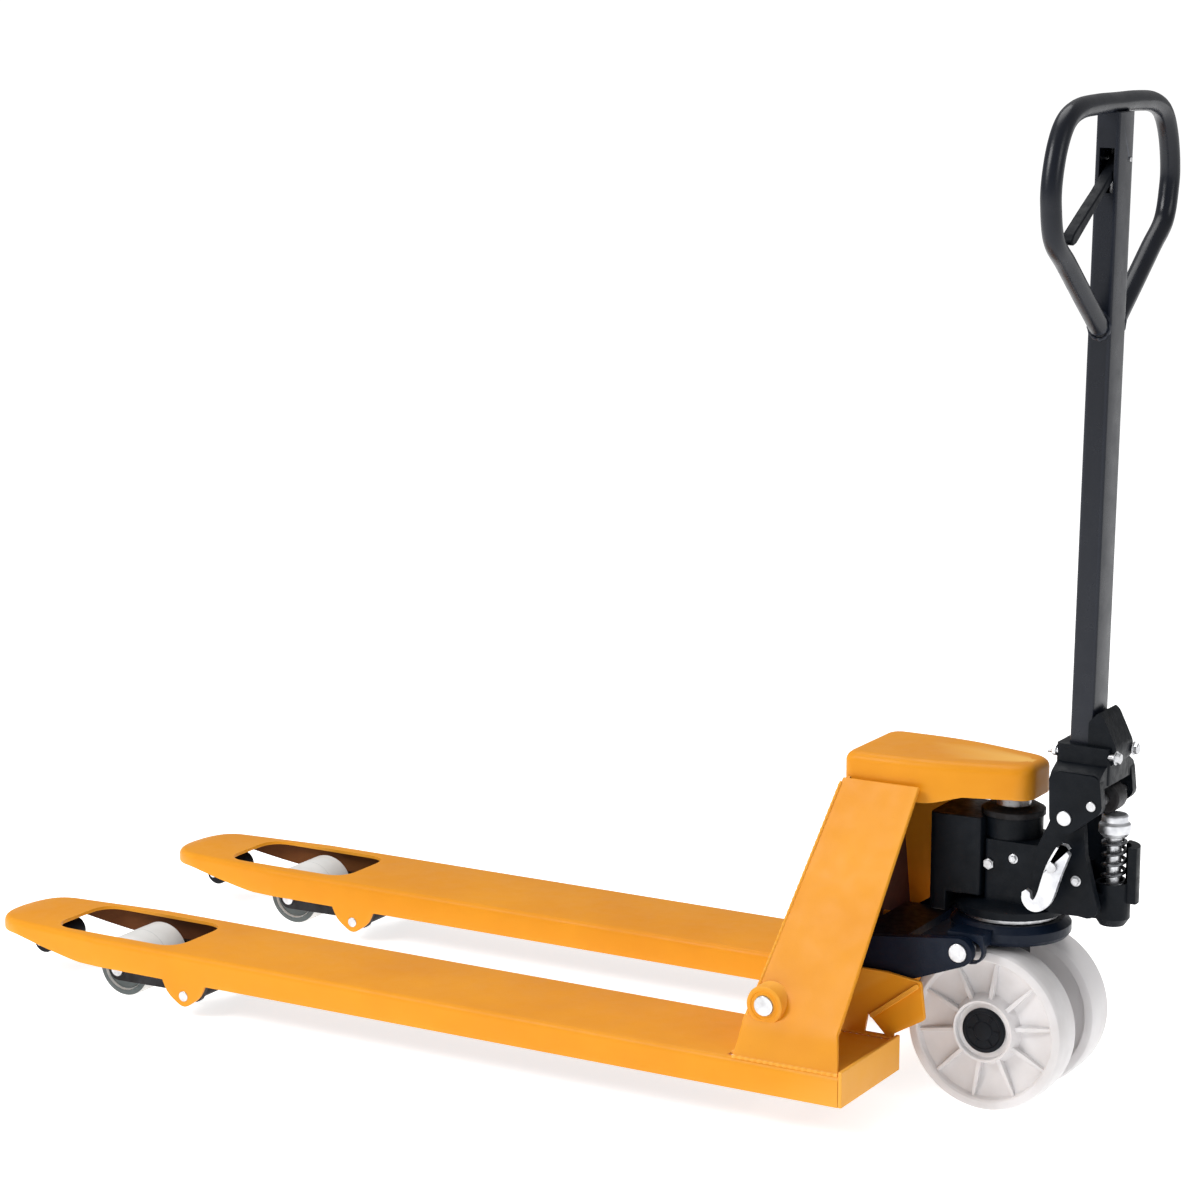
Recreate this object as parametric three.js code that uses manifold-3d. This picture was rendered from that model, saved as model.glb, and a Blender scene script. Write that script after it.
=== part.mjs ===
// Hand pallet truck, millimetres, +Z up.
// Lengths along the truck are measured from the fork tips towards the handle, and the finished
// group is moved so that the middle of the whole length lies at x = 0. The truck stands on z = 0,
// with its middle plane at y = 0. The left side is -Y and the right side is +Y.
import * as THREE from "three";
import { mergeVertices } from "three/addons/utils/BufferGeometryUtils.js";
import { ConvexGeometry } from "three/addons/geometries/ConvexGeometry.js";
import Module from "manifold-3d";

const wasm = await Module();
wasm.setup();

// ---------------------------------------------------------------- driving dimensions
const overallLength = 1543;
const gap = 0.3;

const fork = {
  width: 160, centreY: 195, top: 85, skirtBottom: 47, rear: 1287, topEnd: 1138, heelSheet: 1220,
  wall: 5, edgeRadius: 8, taperStart: 200, taperEnd: 60, taperHalfWidth: 67, nosePoint: 71,
};
const slot = { front: 108, rear: 312, halfWidth: 58, cornerRadius: 34 };
const lug = { x: 342, z: 29, bossRadius: 14 };

const frame = { footY: 272, bottom: 84.3, foldY: 235, foldZ: 121, topY: 78, topZ: 389, wall: 6 };
const sideEdge = {
  footFront: 1147, footRear: 1285, foldFront: 1142, foldRear: 1267, topFront: 1193, topRear: 1293,
};
const cover = { rear: 1188, nose: 1418, halfWidth: 70, top: 419, wall: 6, edgeRadius: 11 };

const shaft = { x: 1170, z: 141, radius: 12.5, halfLength: 238 };
const boss = { radius: 24, outerY: 236 };
const rockerPin = { x: 1363, z: 203, radius: 11.5 };
const rockerArmY = 98.5;
const rockerArmThickness = 12.5;
const crankLength = 69;
const crankStart = THREE.MathUtils.degToRad(-73.25);
const rockerTravelDegrees = 32.97;

const steer = { x: 1383, wheelRadius: 100, wheelWidth: 50, wheelInnerY: 27, axleRadius: 10 };
const ram = { radius: 21, bottom: 208, top: 403 };
const cylinder = { radius: 36, top: 352 };

const loadRoller = { x: 217, z: 40, radius: 40, halfWidth: 44 };
const rodPin = { offsetX: 19.9, offsetZ: 33.8, radius: 5 };
const entryRoller = { x: 74, z: 52, radius: 17, halfWidth: 36, axleRadius: 5 };

const plunger = { x: 1512, capTop: 368, radius: 9 };
const pivot = { x: 1470, z: 369, radius: 9 };
const handleLean = THREE.MathUtils.degToRad(0.84);
const tube = { centreX: 3.8, depth: 29, width: 46, wall: 3, bottom: 30, top: 819 };
const loop = { tubeRadius: 12, x: 3.8, halfWidth: 182, barZ: 829, wideZ: 737, narrowZ: 580 };
const lever = { hingeY: 12, hingeZ: 765, tipY: -128, tipZ: 681, thickness: 14, width: 16 };

const fineSegments = 48;
const roundSegments = 24;
const pinSegments = 16;

// ---------------------------------------------------------------- materials
function paint(color, roughness, metalness) {
  return new THREE.MeshStandardMaterial({ color, roughness, metalness });
}
const yellowPaint = paint(0xeea92e, 0.45, 0.1);
const blackPaint = paint(0x1a202c, 0.4, 0.2);
const navyPaint = paint(0x131c33, 0.4, 0.2);
const darkSteel = paint(0x2c2c30, 0.5, 0.6);
const brightSteel = paint(0xc9ccd2, 0.3, 0.9);
const zincPlate = paint(0xdde2ea, 0.35, 0.8);
const whiteNylon = paint(0xd8d4d0, 0.45, 0.0);
const blackRubber = paint(0x17181b, 0.7, 0.0);

// ---------------------------------------------------------------- solids from three.js geometry
function toSolid(geometry) {
  const bare = geometry.clone();
  for (const name of Object.keys(bare.attributes)) {
    if (name !== "position") bare.deleteAttribute(name);
  }
  const merged = mergeVertices(bare, 1e-4);
  const vertices = merged.attributes.position.array;
  const corner = (i) => new THREE.Vector3().fromArray(vertices, 3 * i);
  const triangles = [];
  let sixVolumes = 0;
  for (let i = 0; i < merged.index.count; i += 3) {
    const [a, b, c] = [0, 1, 2].map((k) => merged.index.getX(i + k));
    if (a === b || b === c || c === a) continue;
    triangles.push([a, b, c]);
    sixVolumes += corner(a).dot(corner(b).cross(corner(c)));
  }
  const outward = triangles.map(([a, b, c]) => (sixVolumes < 0 ? [a, c, b] : [a, b, c]));
  const mesh = new wasm.Mesh({
    numProp: 3,
    vertProperties: Float32Array.from(vertices),
    triVerts: Uint32Array.from(outward.flat()),
  });
  return new wasm.Manifold(mesh);
}

function toGeometry(solid) {
  const mesh = solid.getMesh();
  const geometry = new THREE.BufferGeometry();
  geometry.setAttribute("position", new THREE.BufferAttribute(mesh.vertProperties, 3));
  geometry.setIndex(new THREE.BufferAttribute(mesh.triVerts, 1));
  geometry.computeVertexNormals();
  return geometry;
}

const join = (first, ...others) => others.reduce((whole, next) => whole.add(next), first);
const cut = (first, ...others) => others.reduce((whole, next) => whole.subtract(next), first);
const common = (first, ...others) => others.reduce((whole, next) => whole.intersect(next), first);

function block(x0, x1, y0, y1, z0, z1) {
  const geometry = new THREE.BoxGeometry(x1 - x0, y1 - y0, z1 - z0);
  return toSolid(geometry.translate((x0 + x1) / 2, (y0 + y1) / 2, (z0 + z1) / 2));
}

function rodAlongY(x, z, radius, y0, y1, segments = pinSegments) {
  const geometry = new THREE.CylinderGeometry(radius, radius, y1 - y0, segments);
  return toSolid(geometry.translate(x, (y0 + y1) / 2, z));
}

function rodAlongZ(x, y, radius, z0, z1, segments = pinSegments) {
  const geometry = new THREE.CylinderGeometry(radius, radius, z1 - z0, segments);
  return toSolid(geometry.rotateX(Math.PI / 2).translate(x, y, (z0 + z1) / 2));
}

function rodAlongX(y, z, radius, x0, x1, segments = pinSegments) {
  const geometry = new THREE.CylinderGeometry(radius, radius, x1 - x0, segments);
  return toSolid(geometry.rotateZ(Math.PI / 2).translate((x0 + x1) / 2, y, z));
}

function turnedAboutZ(profile, x, y, segments = roundSegments) {
  const points = profile.map(([r, z]) => new THREE.Vector2(r, z));
  const geometry = new THREE.LatheGeometry(points, segments);
  return toSolid(geometry.rotateX(Math.PI / 2).translate(x, y, 0));
}

function turnedAboutY(profile, x, z, segments = roundSegments) {
  const points = profile.map(([r, y]) => new THREE.Vector2(r, y));
  const geometry = new THREE.LatheGeometry(points, segments);
  return toSolid(geometry.translate(x, 0, z));
}

// A closed outline through the given corners. A corner's third value is its rounding distance.
function outline(corners) {
  const shape = new THREE.Shape();
  const count = corners.length;
  corners.forEach(([x, y, rounding = 0], i) => {
    const here = new THREE.Vector2(x, y);
    const before = new THREE.Vector2(...corners[(i + count - 1) % count]);
    const after = new THREE.Vector2(...corners[(i + 1) % count]);
    const arrive = here.clone().add(before.sub(here).setLength(rounding));
    const leave = here.clone().add(after.sub(here).setLength(rounding));
    if (i === 0) shape.moveTo(arrive.x, arrive.y);
    else shape.lineTo(arrive.x, arrive.y);
    if (rounding > 0) shape.quadraticCurveTo(x, y, leave.x, leave.y);
  });
  shape.closePath();
  return shape;
}

const axisX = new THREE.Vector3(1, 0, 0);
const axisY = new THREE.Vector3(0, 1, 0);
const axisZ = new THREE.Vector3(0, 0, 1);
const xzToWorld = new THREE.Matrix4().makeBasis(axisX, axisZ, axisY.clone().negate());
const yzToWorld = new THREE.Matrix4().makeBasis(axisY, axisZ, axisX);

function extrude(shape, depth, curveSegments = 5) {
  return new THREE.ExtrudeGeometry(shape, { depth, bevelEnabled: false, curveSegments });
}

// An XZ outline made solid from y0 to y1.
function alongY(shape, y0, y1, curveSegments) {
  return toSolid(extrude(shape, y1 - y0, curveSegments).applyMatrix4(xzToWorld).translate(0, y1, 0));
}

// A YZ outline made solid from x0 to x1.
function alongX(shape, x0, x1, curveSegments) {
  return toSolid(extrude(shape, x1 - x0, curveSegments).applyMatrix4(yzToWorld).translate(x0, 0, 0));
}

// An XY outline made solid from z0 to z1.
function alongZ(shape, z0, z1, curveSegments) {
  return toSolid(extrude(shape, z1 - z0, curveSegments).translate(0, 0, z0));
}

// The convex plate that wraps the given circles [x, z, radius], from y0 to y1.
function wrapCircles(circles, y0, y1, segments = pinSegments) {
  const points = [];
  for (const [x, z, radius] of circles) {
    for (let i = 0; i < segments; i += 1) {
      const angle = (2 * Math.PI * i) / segments;
      for (const y of [y0, y1]) {
        points.push(new THREE.Vector3(x + radius * Math.cos(angle), y, z + radius * Math.sin(angle)));
      }
    }
  }
  return toSolid(new ConvexGeometry(points));
}

// A convex body standing on a plan outline, with its top edge rounded.
function roundedTop(planAt, low, high, rounding) {
  const layer = (inset, z) => planAt(inset).getPoints(6).map(({ x, y }) => new THREE.Vector3(x, y, z));
  const points = layer(0, low);
  const steps = 4;
  for (let i = 0; i <= steps; i += 1) {
    const angle = (i / steps) * (Math.PI / 2);
    points.push(...layer(rounding * (1 - Math.cos(angle)), high - rounding * (1 - Math.sin(angle))));
  }
  return toSolid(new ConvexGeometry(points));
}

const mirrorY = (solid) => solid.mirror([0, 1, 0]);

// ---------------------------------------------------------------- the assembly
const truck = new THREE.Group();
truck.position.x = -overallLength / 2;

function addPart(name, solid, material, parent = truck) {
  const mesh = new THREE.Mesh(toGeometry(solid), material);
  mesh.name = name;
  parent.add(mesh);
}

// Adds the left (-Y) piece as drawn and its mirror image on the right.
function addPair(name, leftSolid, material) {
  addPart(`${name}_left`, leftSolid, material);
  addPart(`${name}_right`, mirrorY(leftSolid), material);
}

// ---------------------------------------------------------------- forks
function forkPlan(inset) {
  const half = fork.width / 2 - inset;
  const taperHalf = fork.taperHalfWidth - inset;
  const shape = new THREE.Shape();
  shape.moveTo(fork.rear, -half);
  shape.lineTo(fork.rear, half);
  shape.lineTo(fork.taperStart, half);
  shape.lineTo(fork.taperEnd, taperHalf);
  shape.absellipse(fork.taperEnd, 0, fork.taperEnd - inset, taperHalf, Math.PI / 2, 1.5 * Math.PI, false, 0);
  shape.lineTo(fork.taperStart, -half);
  shape.closePath();
  return shape;
}

function forkSide(topInset) {
  const top = fork.top - topInset;
  const shape = new THREE.Shape();
  shape.moveTo(fork.rear, fork.skirtBottom);
  shape.lineTo(fork.rear, top);
  shape.lineTo(30, top);
  shape.quadraticCurveTo(6, top, -1, fork.nosePoint + 5 - topInset);
  shape.lineTo(-1, fork.nosePoint - topInset);
  shape.lineTo(40, fork.nosePoint - 2);
  shape.quadraticCurveTo(105, fork.nosePoint - 4, 140, 56);
  shape.quadraticCurveTo(162, fork.skirtBottom, 200, fork.skirtBottom);
  shape.closePath();
  return shape;
}

// A small ear under the fork's top that carries one end of the entry roller's axle.
function entryEar(side) {
  const inner = side * (entryRoller.halfWidth + 2);
  const outer = inner + side * 5;
  const [y0, y1] = [Math.min(inner, outer), Math.max(inner, outer)];
  const ear = wrapCircles([[entryRoller.x, entryRoller.z, 10], [entryRoller.x - 2, fork.top - 8, 7]], y0, y1);
  const trimmed = common(ear, block(0, 400, y0, y1, 0, fork.top - fork.wall + 1));
  return cut(trimmed, rodAlongY(entryRoller.x, entryRoller.z, entryRoller.axleRadius + gap, y0 - 1, y1 + 1));
}

function leftFork() {
  const half = fork.width / 2;
  const section = outline([
    [-half, 0], [half, 0], [half, fork.top, fork.edgeRadius], [-half, fork.top, fork.edgeRadius],
  ]);
  const skin = common(
    alongZ(forkPlan(0), 0, fork.top, 8),
    alongY(forkSide(0), -half, half, 5),
    alongX(section, -5, fork.rear + 5, 4),
  );
  const hollow = alongZ(forkPlan(fork.wall), 0, fork.top - fork.wall, 8);
  const crankOpening = block(
    fork.topEnd + 1, fork.heelSheet, fork.wall - half, half - fork.wall, 0, fork.top + 1,
  );
  const rearTop = block(fork.topEnd, fork.rear + 1, -half - 1, half + 1, fork.top - 1, fork.top + 1);
  const slotCut = alongZ(outline([
    [slot.front, -slot.halfWidth, slot.cornerRadius], [slot.rear, -slot.halfWidth, slot.cornerRadius],
    [slot.rear, slot.halfWidth, slot.cornerRadius], [slot.front, slot.halfWidth, slot.cornerRadius],
  ]), 60, fork.top + 1, 4);
  let body = cut(skin, hollow, crankOpening, rearTop, slotCut);
  for (const side of [-1, 1]) {
    const outer = side * half;
    const inner = side * (half - fork.wall);
    const [y0, y1] = [Math.min(outer, inner), Math.max(outer, inner)];
    const hanger = wrapCircles([[lug.x, lug.z, lug.bossRadius], [lug.x, 52, 33]], y0, y1);
    body = join(body, common(hanger, block(0, 500, y0, y1, 0, 60)));
    body = cut(body, rodAlongY(lug.x, lug.z, 7 + gap, y0 - 1, y1 + 1));
  }
  return join(body, entryEar(-1), entryEar(1)).translate([0, -fork.centreY, 0]);
}
addPair("fork", leftFork(), yellowPaint);

// ---------------------------------------------------------------- heel of each fork
const innerSkirtY = fork.centreY - fork.width / 2;

function leftHeelEndPlate() {
  const outer = -fork.centreY - fork.width / 2;
  const front = fork.rear + gap;
  return block(front, front + 5, outer, -innerSkirtY, fork.skirtBottom, 91);
}
addPair("heel_end_plate", leftHeelEndPlate(), yellowPaint);

function leftHeelGusset() {
  const low = frame.bottom;
  const plate = alongY(outline([
    [1152, low], [fork.rear - 2, low], [fork.rear - 2, 92], [1326, 116, 4], [1320, 162, 4], [1275, 168, 6],
    [1160, 168],
  ]), -innerSkirtY - 5, -innerSkirtY);
  const window = alongY(outline([[1247, 89], [1275, 89], [1251, 113]]), -innerSkirtY - 10, -innerSkirtY + 5);
  const stiffener = wrapCircles([[1258, 112, 3], [1316, 157, 3]], -innerSkirtY - 9, -innerSkirtY - 4, 8);
  const armRelief = rodAlongY(shaft.x, shaft.z, 18, -innerSkirtY - 10, -innerSkirtY + 5);
  return cut(join(plate, stiffener), window, armRelief);
}
addPair("heel_gusset", leftHeelGusset(), yellowPaint);

// ---------------------------------------------------------------- side plates and front plate
function leftSidePlate() {
  const { footY, bottom, foldY, foldZ, topY, topZ, wall } = frame;
  const sheet = alongX(outline([
    [-footY, bottom], [-foldY, foldZ, 6], [-topY, topZ], [-topY + wall, topZ],
    [-foldY + wall, foldZ, 6], [-footY + wall, bottom],
  ]), 1100, 1320);
  const silhouette = alongY(outline([
    [sideEdge.footFront, 60], [sideEdge.footRear, 60], [sideEdge.footRear, fork.top],
    [sideEdge.foldRear, foldZ, 8], [sideEdge.topRear, topZ + 1, 3],
    [sideEdge.topFront, topZ + 1, 3], [sideEdge.foldFront, foldZ, 4], [sideEdge.footFront, fork.top],
  ]), -290, -60);
  const shaftHole = rodAlongY(shaft.x, shaft.z, shaft.radius + gap, -290, -150);
  return cut(common(sheet, silhouette), shaftHole);
}
addPair("side_plate", leftSidePlate(), yellowPaint);

// A short round boss standing out level from the leaning plate, round the end of the shaft.
function leftShaftBoss() {
  const { footY, bottom, foldY, foldZ, topY, topZ } = frame;
  const clearance = gap * 1.2;
  const plateAndInside = alongX(outline([
    [-footY - clearance, bottom], [-foldY - clearance, foldZ, 6], [-topY - clearance, topZ], [0, topZ],
    [0, bottom],
  ]), shaft.x - 40, shaft.x + 40);
  const cylinder = rodAlongY(shaft.x, shaft.z, boss.radius, -boss.outerY, -180, roundSegments);
  return cut(cylinder, plateAndInside, rodAlongY(shaft.x, shaft.z, shaft.radius + gap, -290, -150));
}
addPair("shaft_boss", leftShaftBoss(), yellowPaint);

function frontPlate() {
  const lean = (sideEdge.topFront - sideEdge.foldFront) / (frame.topZ - frame.foldZ);
  const front = (z) => sideEdge.foldFront + 1 + lean * Math.max(0, z - frame.foldZ);
  const low = fork.top + gap;
  const sheet = alongY(outline([
    [front(low), low], [front(frame.foldZ), frame.foldZ, 6], [front(frame.topZ), frame.topZ],
    [front(frame.topZ) + frame.wall, frame.topZ], [front(frame.foldZ) + frame.wall, frame.foldZ, 6],
    [front(low) + frame.wall, low],
  ]), -280, 280);
  const inset = frame.wall * 1.2 + gap;
  const within = alongX(outline([
    [-frame.footY + inset, low], [-frame.foldY + inset, frame.foldZ], [-frame.topY + inset, frame.topZ],
    [frame.topY - inset, frame.topZ], [frame.foldY - inset, frame.foldZ], [frame.footY - inset, low],
  ]), 1100, 1300);
  return common(sheet, within);
}
addPart("front_plate", frontPlate(), yellowPaint);

// ---------------------------------------------------------------- top cover and ram cup
function coverPlan(inset) {
  const half = cover.halfWidth - inset;
  const noseHalf = 38 - inset;
  const nose = cover.nose - inset;
  const back = cover.rear + inset;
  return outline([
    [back, -half, 14], [1296, -half, 40], [nose, -noseHalf, 22], [nose, noseHalf, 22],
    [1296, half, 40], [back, half, 14],
  ]);
}

function topCover() {
  const outer = roundedTop(coverPlan, 300, cover.top, cover.edgeRadius);
  const skirt = alongY(outline([
    [cover.rear - 5, 368], [1290, 366, 20], [1360, 380, 20], [cover.nose + 5, 377],
    [cover.nose + 5, cover.top + 5], [cover.rear - 5, cover.top + 5],
  ]), -100, 100);
  const inside = alongZ(coverPlan(cover.wall), 300, cover.top - cover.wall, 6);
  const reliefRear = sideEdge.topFront + frame.wall + 2;
  const plateRelief = block(cover.rear - 5, reliefRear, -100, 100, 300, frame.topZ + gap);
  return cut(common(outer, skirt), inside, plateRelief);
}
addPart("top_cover", topCover(), yellowPaint);

function ramCup() {
  return turnedAboutZ([
    [0, ram.top + 4], [18, ram.top + 4], [23, ram.top - 8], [23, ram.top - 14], [27, ram.top - 14],
    [27, cover.top - cover.wall - gap], [0, cover.top - cover.wall - gap],
  ], steer.x, 0);
}
addPart("ram_cup", ramCup(), darkSteel);

function ramRod() {
  return turnedAboutZ([
    [0, ram.bottom], [ram.radius, ram.bottom], [ram.radius, ram.top - 12], [16, ram.top - 3],
    [8, ram.top], [0, ram.top + 1],
  ], steer.x, 0);
}
addPart("ram", ramRod(), brightSteel);

// ---------------------------------------------------------------- rocker arm, shaft, cranks and pins
function rockerArm() {
  const innerY = rockerArmY;
  const outerY = rockerArmY + rockerArmThickness;
  const belly = [1252, 175, 32];
  const arm = (y0, y1) => join(
    wrapCircles([[shaft.x, shaft.z, 15.5], belly], y0, y1, roundSegments),
    wrapCircles([belly, [rockerPin.x, rockerPin.z, 17.5]], y0, y1, roundSegments),
  );
  const sleeve = rodAlongY(shaft.x, shaft.z, 15.5, -innerY - 1, innerY + 1, roundSegments);
  const web = block(1200, 1262, -innerY - 1, innerY + 1, 180, 190);
  const bore = rodAlongY(shaft.x, shaft.z, shaft.radius + gap, -200, 200);
  const pinBore = rodAlongY(rockerPin.x, rockerPin.z, rockerPin.radius + gap, -200, 200);
  const whole = join(arm(-outerY, -innerY), arm(innerY, outerY), sleeve, web);
  return cut(whole, bore, pinBore);
}
addPart("rocker_arm", rockerArm(), navyPaint);
const shaftRod = rodAlongY(shaft.x, shaft.z, shaft.radius, -shaft.halfLength, shaft.halfLength);
addPart("rocker_shaft", shaftRod, brightSteel);

function leftRockerPin() {
  const outer = -rockerArmY - rockerArmThickness - 2.5;
  return rodAlongY(rockerPin.x, rockerPin.z, rockerPin.radius, outer, -84, pinSegments);
}
addPair("rocker_pin", leftRockerPin(), brightSteel);

const crankPin = {
  x: shaft.x + crankLength * Math.cos(crankStart),
  z: shaft.z + crankLength * Math.sin(crankStart),
};

// The crank's front edge is cut back where it comes close to the front plate with the forks raised.
function leftCrank() {
  const [y0, y1] = [-fork.centreY + 8, -fork.centreY + 18];
  const plate = wrapCircles([[shaft.x, shaft.z, 15.5], [crankPin.x, crankPin.z, 11]], y0, y1);
  const pin = rodAlongY(crankPin.x, crankPin.z, rodPin.radius, -fork.centreY - 9, y0 + 1);
  const frontPlateRear = sideEdge.foldFront + 1 + frame.wall;
  const relief = block(frontPlateRear - 50, frontPlateRear + 1.3, y0 - 1, y1 + 1, frame.bottom, 160)
    .translate([-shaft.x, 0, -shaft.z])
    .rotate([0, -rockerTravelDegrees, 0])
    .translate([shaft.x, 0, shaft.z]);
  return cut(join(plate, pin), relief, rodAlongY(shaft.x, shaft.z, shaft.radius + gap, -300, 0));
}
addPair("crank", leftCrank(), darkSteel);

// ---------------------------------------------------------------- push rods
const rodFront = { x: lug.x + rodPin.offsetX, z: lug.z + rodPin.offsetZ + 2.7 };
const rodRear = { x: crankPin.x, z: crankPin.z - 1.5 };

function leftPushRod() {
  const centre = -fork.centreY;
  const ends = [[rodFront.x, rodFront.z, 6], [rodRear.x, rodRear.z, 6]];
  const bar = wrapCircles(ends, centre - 6, centre + 6, 12);
  const frontEye = rodAlongY(rodFront.x, rodFront.z, 12.5, centre - 6, centre + 6);
  const rearEye = rodAlongY(rodRear.x, rodRear.z, 10, centre - 6, centre + 6);
  const frontHole = rodAlongY(rodFront.x, rodFront.z, rodPin.radius + 3.2, centre - 10, centre + 10);
  const rearHole = rodAlongY(rodRear.x, rodRear.z, rodPin.radius + 2, centre - 10, centre + 10);
  return cut(join(bar, frontEye, rearEye), frontHole, rearHole);
}
addPair("push_rod", leftPushRod(), darkSteel);

// ---------------------------------------------------------------- load rollers
function leftRollerFrame() {
  const centre = -fork.centreY;
  const pinX = lug.x + rodPin.offsetX;
  const pinZ = lug.z + rodPin.offsetZ;
  const cheek = (y0, y1) => join(
    wrapCircles([[loadRoller.x, loadRoller.z, 15], [lug.x - 20, lug.z + 14, 16]], y0, y1),
    wrapCircles([[lug.x, lug.z, 14], [pinX, pinZ, 10], [lug.x - 20, lug.z + 14, 16]], y0, y1),
  );
  const tie = rodAlongY(pinX, pinZ, rodPin.radius, centre - 52, centre + 52);
  const sleeve = rodAlongY(lug.x, lug.z, 11, centre - 52, centre + 52);
  const whole = join(cheek(centre - 57, centre - 50), cheek(centre + 50, centre + 57), tie, sleeve);
  const pinBore = rodAlongY(lug.x, lug.z, 7 + gap, -300, -100);
  const axleBore = rodAlongY(loadRoller.x, loadRoller.z, 9 + gap, -300, -100);
  return cut(whole, pinBore, axleBore);
}
addPair("roller_frame", leftRollerFrame(), darkSteel);

function leftFramePin() {
  const reach = fork.width / 2 + 1;
  return rodAlongY(lug.x, lug.z, 7, -fork.centreY - reach, -fork.centreY + reach);
}
addPair("frame_pin", leftFramePin(), brightSteel);
function leftRollerAxle() {
  return rodAlongY(loadRoller.x, loadRoller.z, 9, -fork.centreY - 60, -fork.centreY + 60);
}
addPair("roller_axle", leftRollerAxle(), brightSteel);

function rollerProfile(radius, bore, halfWidth, rounding) {
  return [
    [bore, -halfWidth], [radius - rounding, -halfWidth], [radius, -halfWidth + rounding],
    [radius, halfWidth - rounding], [radius - rounding, halfWidth], [bore, halfWidth], [bore, -halfWidth],
  ];
}

function leftLoadRoller() {
  const profile = rollerProfile(loadRoller.radius, 9 + gap, loadRoller.halfWidth, 3);
  return turnedAboutY(profile, loadRoller.x, loadRoller.z, fineSegments).translate([0, -fork.centreY, 0]);
}
addPair("load_roller", leftLoadRoller(), whiteNylon);

// ---------------------------------------------------------------- entry rollers
function leftEntryRoller() {
  const profile = rollerProfile(entryRoller.radius, entryRoller.axleRadius + gap, entryRoller.halfWidth, 2);
  const roller = turnedAboutY(profile, entryRoller.x, entryRoller.z, roundSegments);
  return roller.translate([0, -fork.centreY, 0]);
}
addPair("entry_roller", leftEntryRoller(), blackRubber);

function leftEntryAxle() {
  const reach = entryRoller.halfWidth + 9;
  const axle = rodAlongY(entryRoller.x, entryRoller.z, entryRoller.axleRadius, -reach, reach);
  return axle.translate([0, -fork.centreY, 0]);
}
addPair("entry_axle", leftEntryAxle(), brightSteel);

// ---------------------------------------------------------------- thrust plate and bearing
const thrustPlate = { low: 205, high: 228, radius: 73, bore: 36, earY: 88, earThickness: 9 };

function leftThrustWing() {
  const { low, high, earY, earThickness } = thrustPlate;
  const outer = -earY - earThickness;
  const arm = block(rockerPin.x - 20, rockerPin.x + 26, outer, -50, low + 3, high - 4);
  const slotEnds = (radius) => [-1, 11].map((along) => [rockerPin.x + along, rockerPin.z, radius]);
  const ear = wrapCircles(slotEnds(16), outer, -earY);
  return cut(join(arm, ear), wrapCircles(slotEnds(rockerPin.radius + 1.5), outer - 1, -80));
}

function thrustPlateSolid() {
  const { low, high, radius, bore } = thrustPlate;
  const ring = turnedAboutZ([
    [bore, low], [radius - 4, low], [radius, low + 5], [radius, high - 8], [radius - 8, high], [bore, high],
    [bore, low],
  ], steer.x, 0, fineSegments);
  const wing = leftThrustWing();
  return join(ring, wing, mirrorY(wing));
}
addPart("thrust_plate", thrustPlateSolid(), navyPaint);

const bearing = { low: thrustPlate.high + gap, high: thrustPlate.high + 7, inner: 38, outer: 58 };
addPart("thrust_bearing", turnedAboutZ([
  [bearing.inner, bearing.low], [bearing.outer, bearing.low], [bearing.outer, bearing.high],
  [bearing.inner, bearing.high], [bearing.inner, bearing.low],
], steer.x, 0, roundSegments), brightSteel);

// ---------------------------------------------------------------- pump
const lugPlate = { inner: 30, thickness: 11 };
const barrel = { low: 233, floor: 235.5, seat: 266, high: 285, outer: 21, seatRadius: 16.5 };

function pumpColumn() {
  const flangeLow = bearing.high + gap;
  return turnedAboutZ([
    [0, 78], [22, 78], [24, 84], [24, 200], [34, 206], [34, flangeLow], [66, flangeLow], [66, flangeLow + 9],
    [58, flangeLow + 14], [40, 252], [cylinder.radius, 254], [cylinder.radius, cylinder.top],
    [0, cylinder.top],
  ], steer.x, 0, fineSegments);
}

function leftPivotLug() {
  const [y0, y1] = [-lugPlate.inner - lugPlate.thickness, -lugPlate.inner];
  const waist = [[1478, 320, 14], [1441, 316, 13]];
  return join(
    wrapCircles([[pivot.x, pivot.z, 18], ...waist], y0, y1),
    wrapCircles([...waist, [1437, 266, 12], [1496, 260, 13]], y0, y1),
  );
}

// The curved plate that stands behind the plunger and ends the truck's length.
function plungerGuard() {
  const outer = overallLength - plunger.x;
  const inner = barrel.outer - 0.5;
  const ring = turnedAboutZ([
    [inner, 262], [outer, 262], [outer, 330], [inner, 330], [inner, 262],
  ], plunger.x, 0, fineSegments);
  return common(ring, block(plunger.x + 8, overallLength + 1, -6, 29, 250, 340));
}

function pumpBody() {
  const casting = alongZ(outline([[1362, -38, 6], [1440, -38, 16], [1440, 38, 16], [1362, 38, 6]]), 250, 326);
  const bridge = alongZ(outline([
    [1425, -30, 4], [plunger.x, -20, 4], [plunger.x, 20, 4], [1425, 30, 4],
  ]), 243, 274);
  const lug = leftPivotLug();
  const outside = join(
    pumpColumn(), casting, bridge, plungerGuard(), lug, mirrorY(lug), block(1430, 1475, -32, 32, 250, 300),
    turnedAboutZ([
      [0, barrel.low], [15, barrel.low], [barrel.outer, barrel.low + 9], [barrel.outer, barrel.high],
      [0, barrel.high],
    ], plunger.x, 0),
  );
  const ramBore = rodAlongZ(steer.x, 0, ram.radius + gap, ram.bottom - 3, cylinder.top + 1, roundSegments);
  const springSeat = rodAlongZ(plunger.x, 0, barrel.seatRadius, barrel.seat, 400, roundSegments);
  const stemBore = rodAlongZ(plunger.x, 0, plunger.radius + 0.5, barrel.floor, barrel.high, pinSegments);
  const pivotBore = rodAlongY(pivot.x, pivot.z, pivot.radius + gap, -60, 60, roundSegments);
  const axleBore = rodAlongY(steer.x, steer.wheelRadius, steer.axleRadius + gap, -30, 30);
  return cut(outside, ramBore, springSeat, stemBore, pivotBore, axleBore);
}
addPart("pump_body", pumpBody(), blackPaint);

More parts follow.
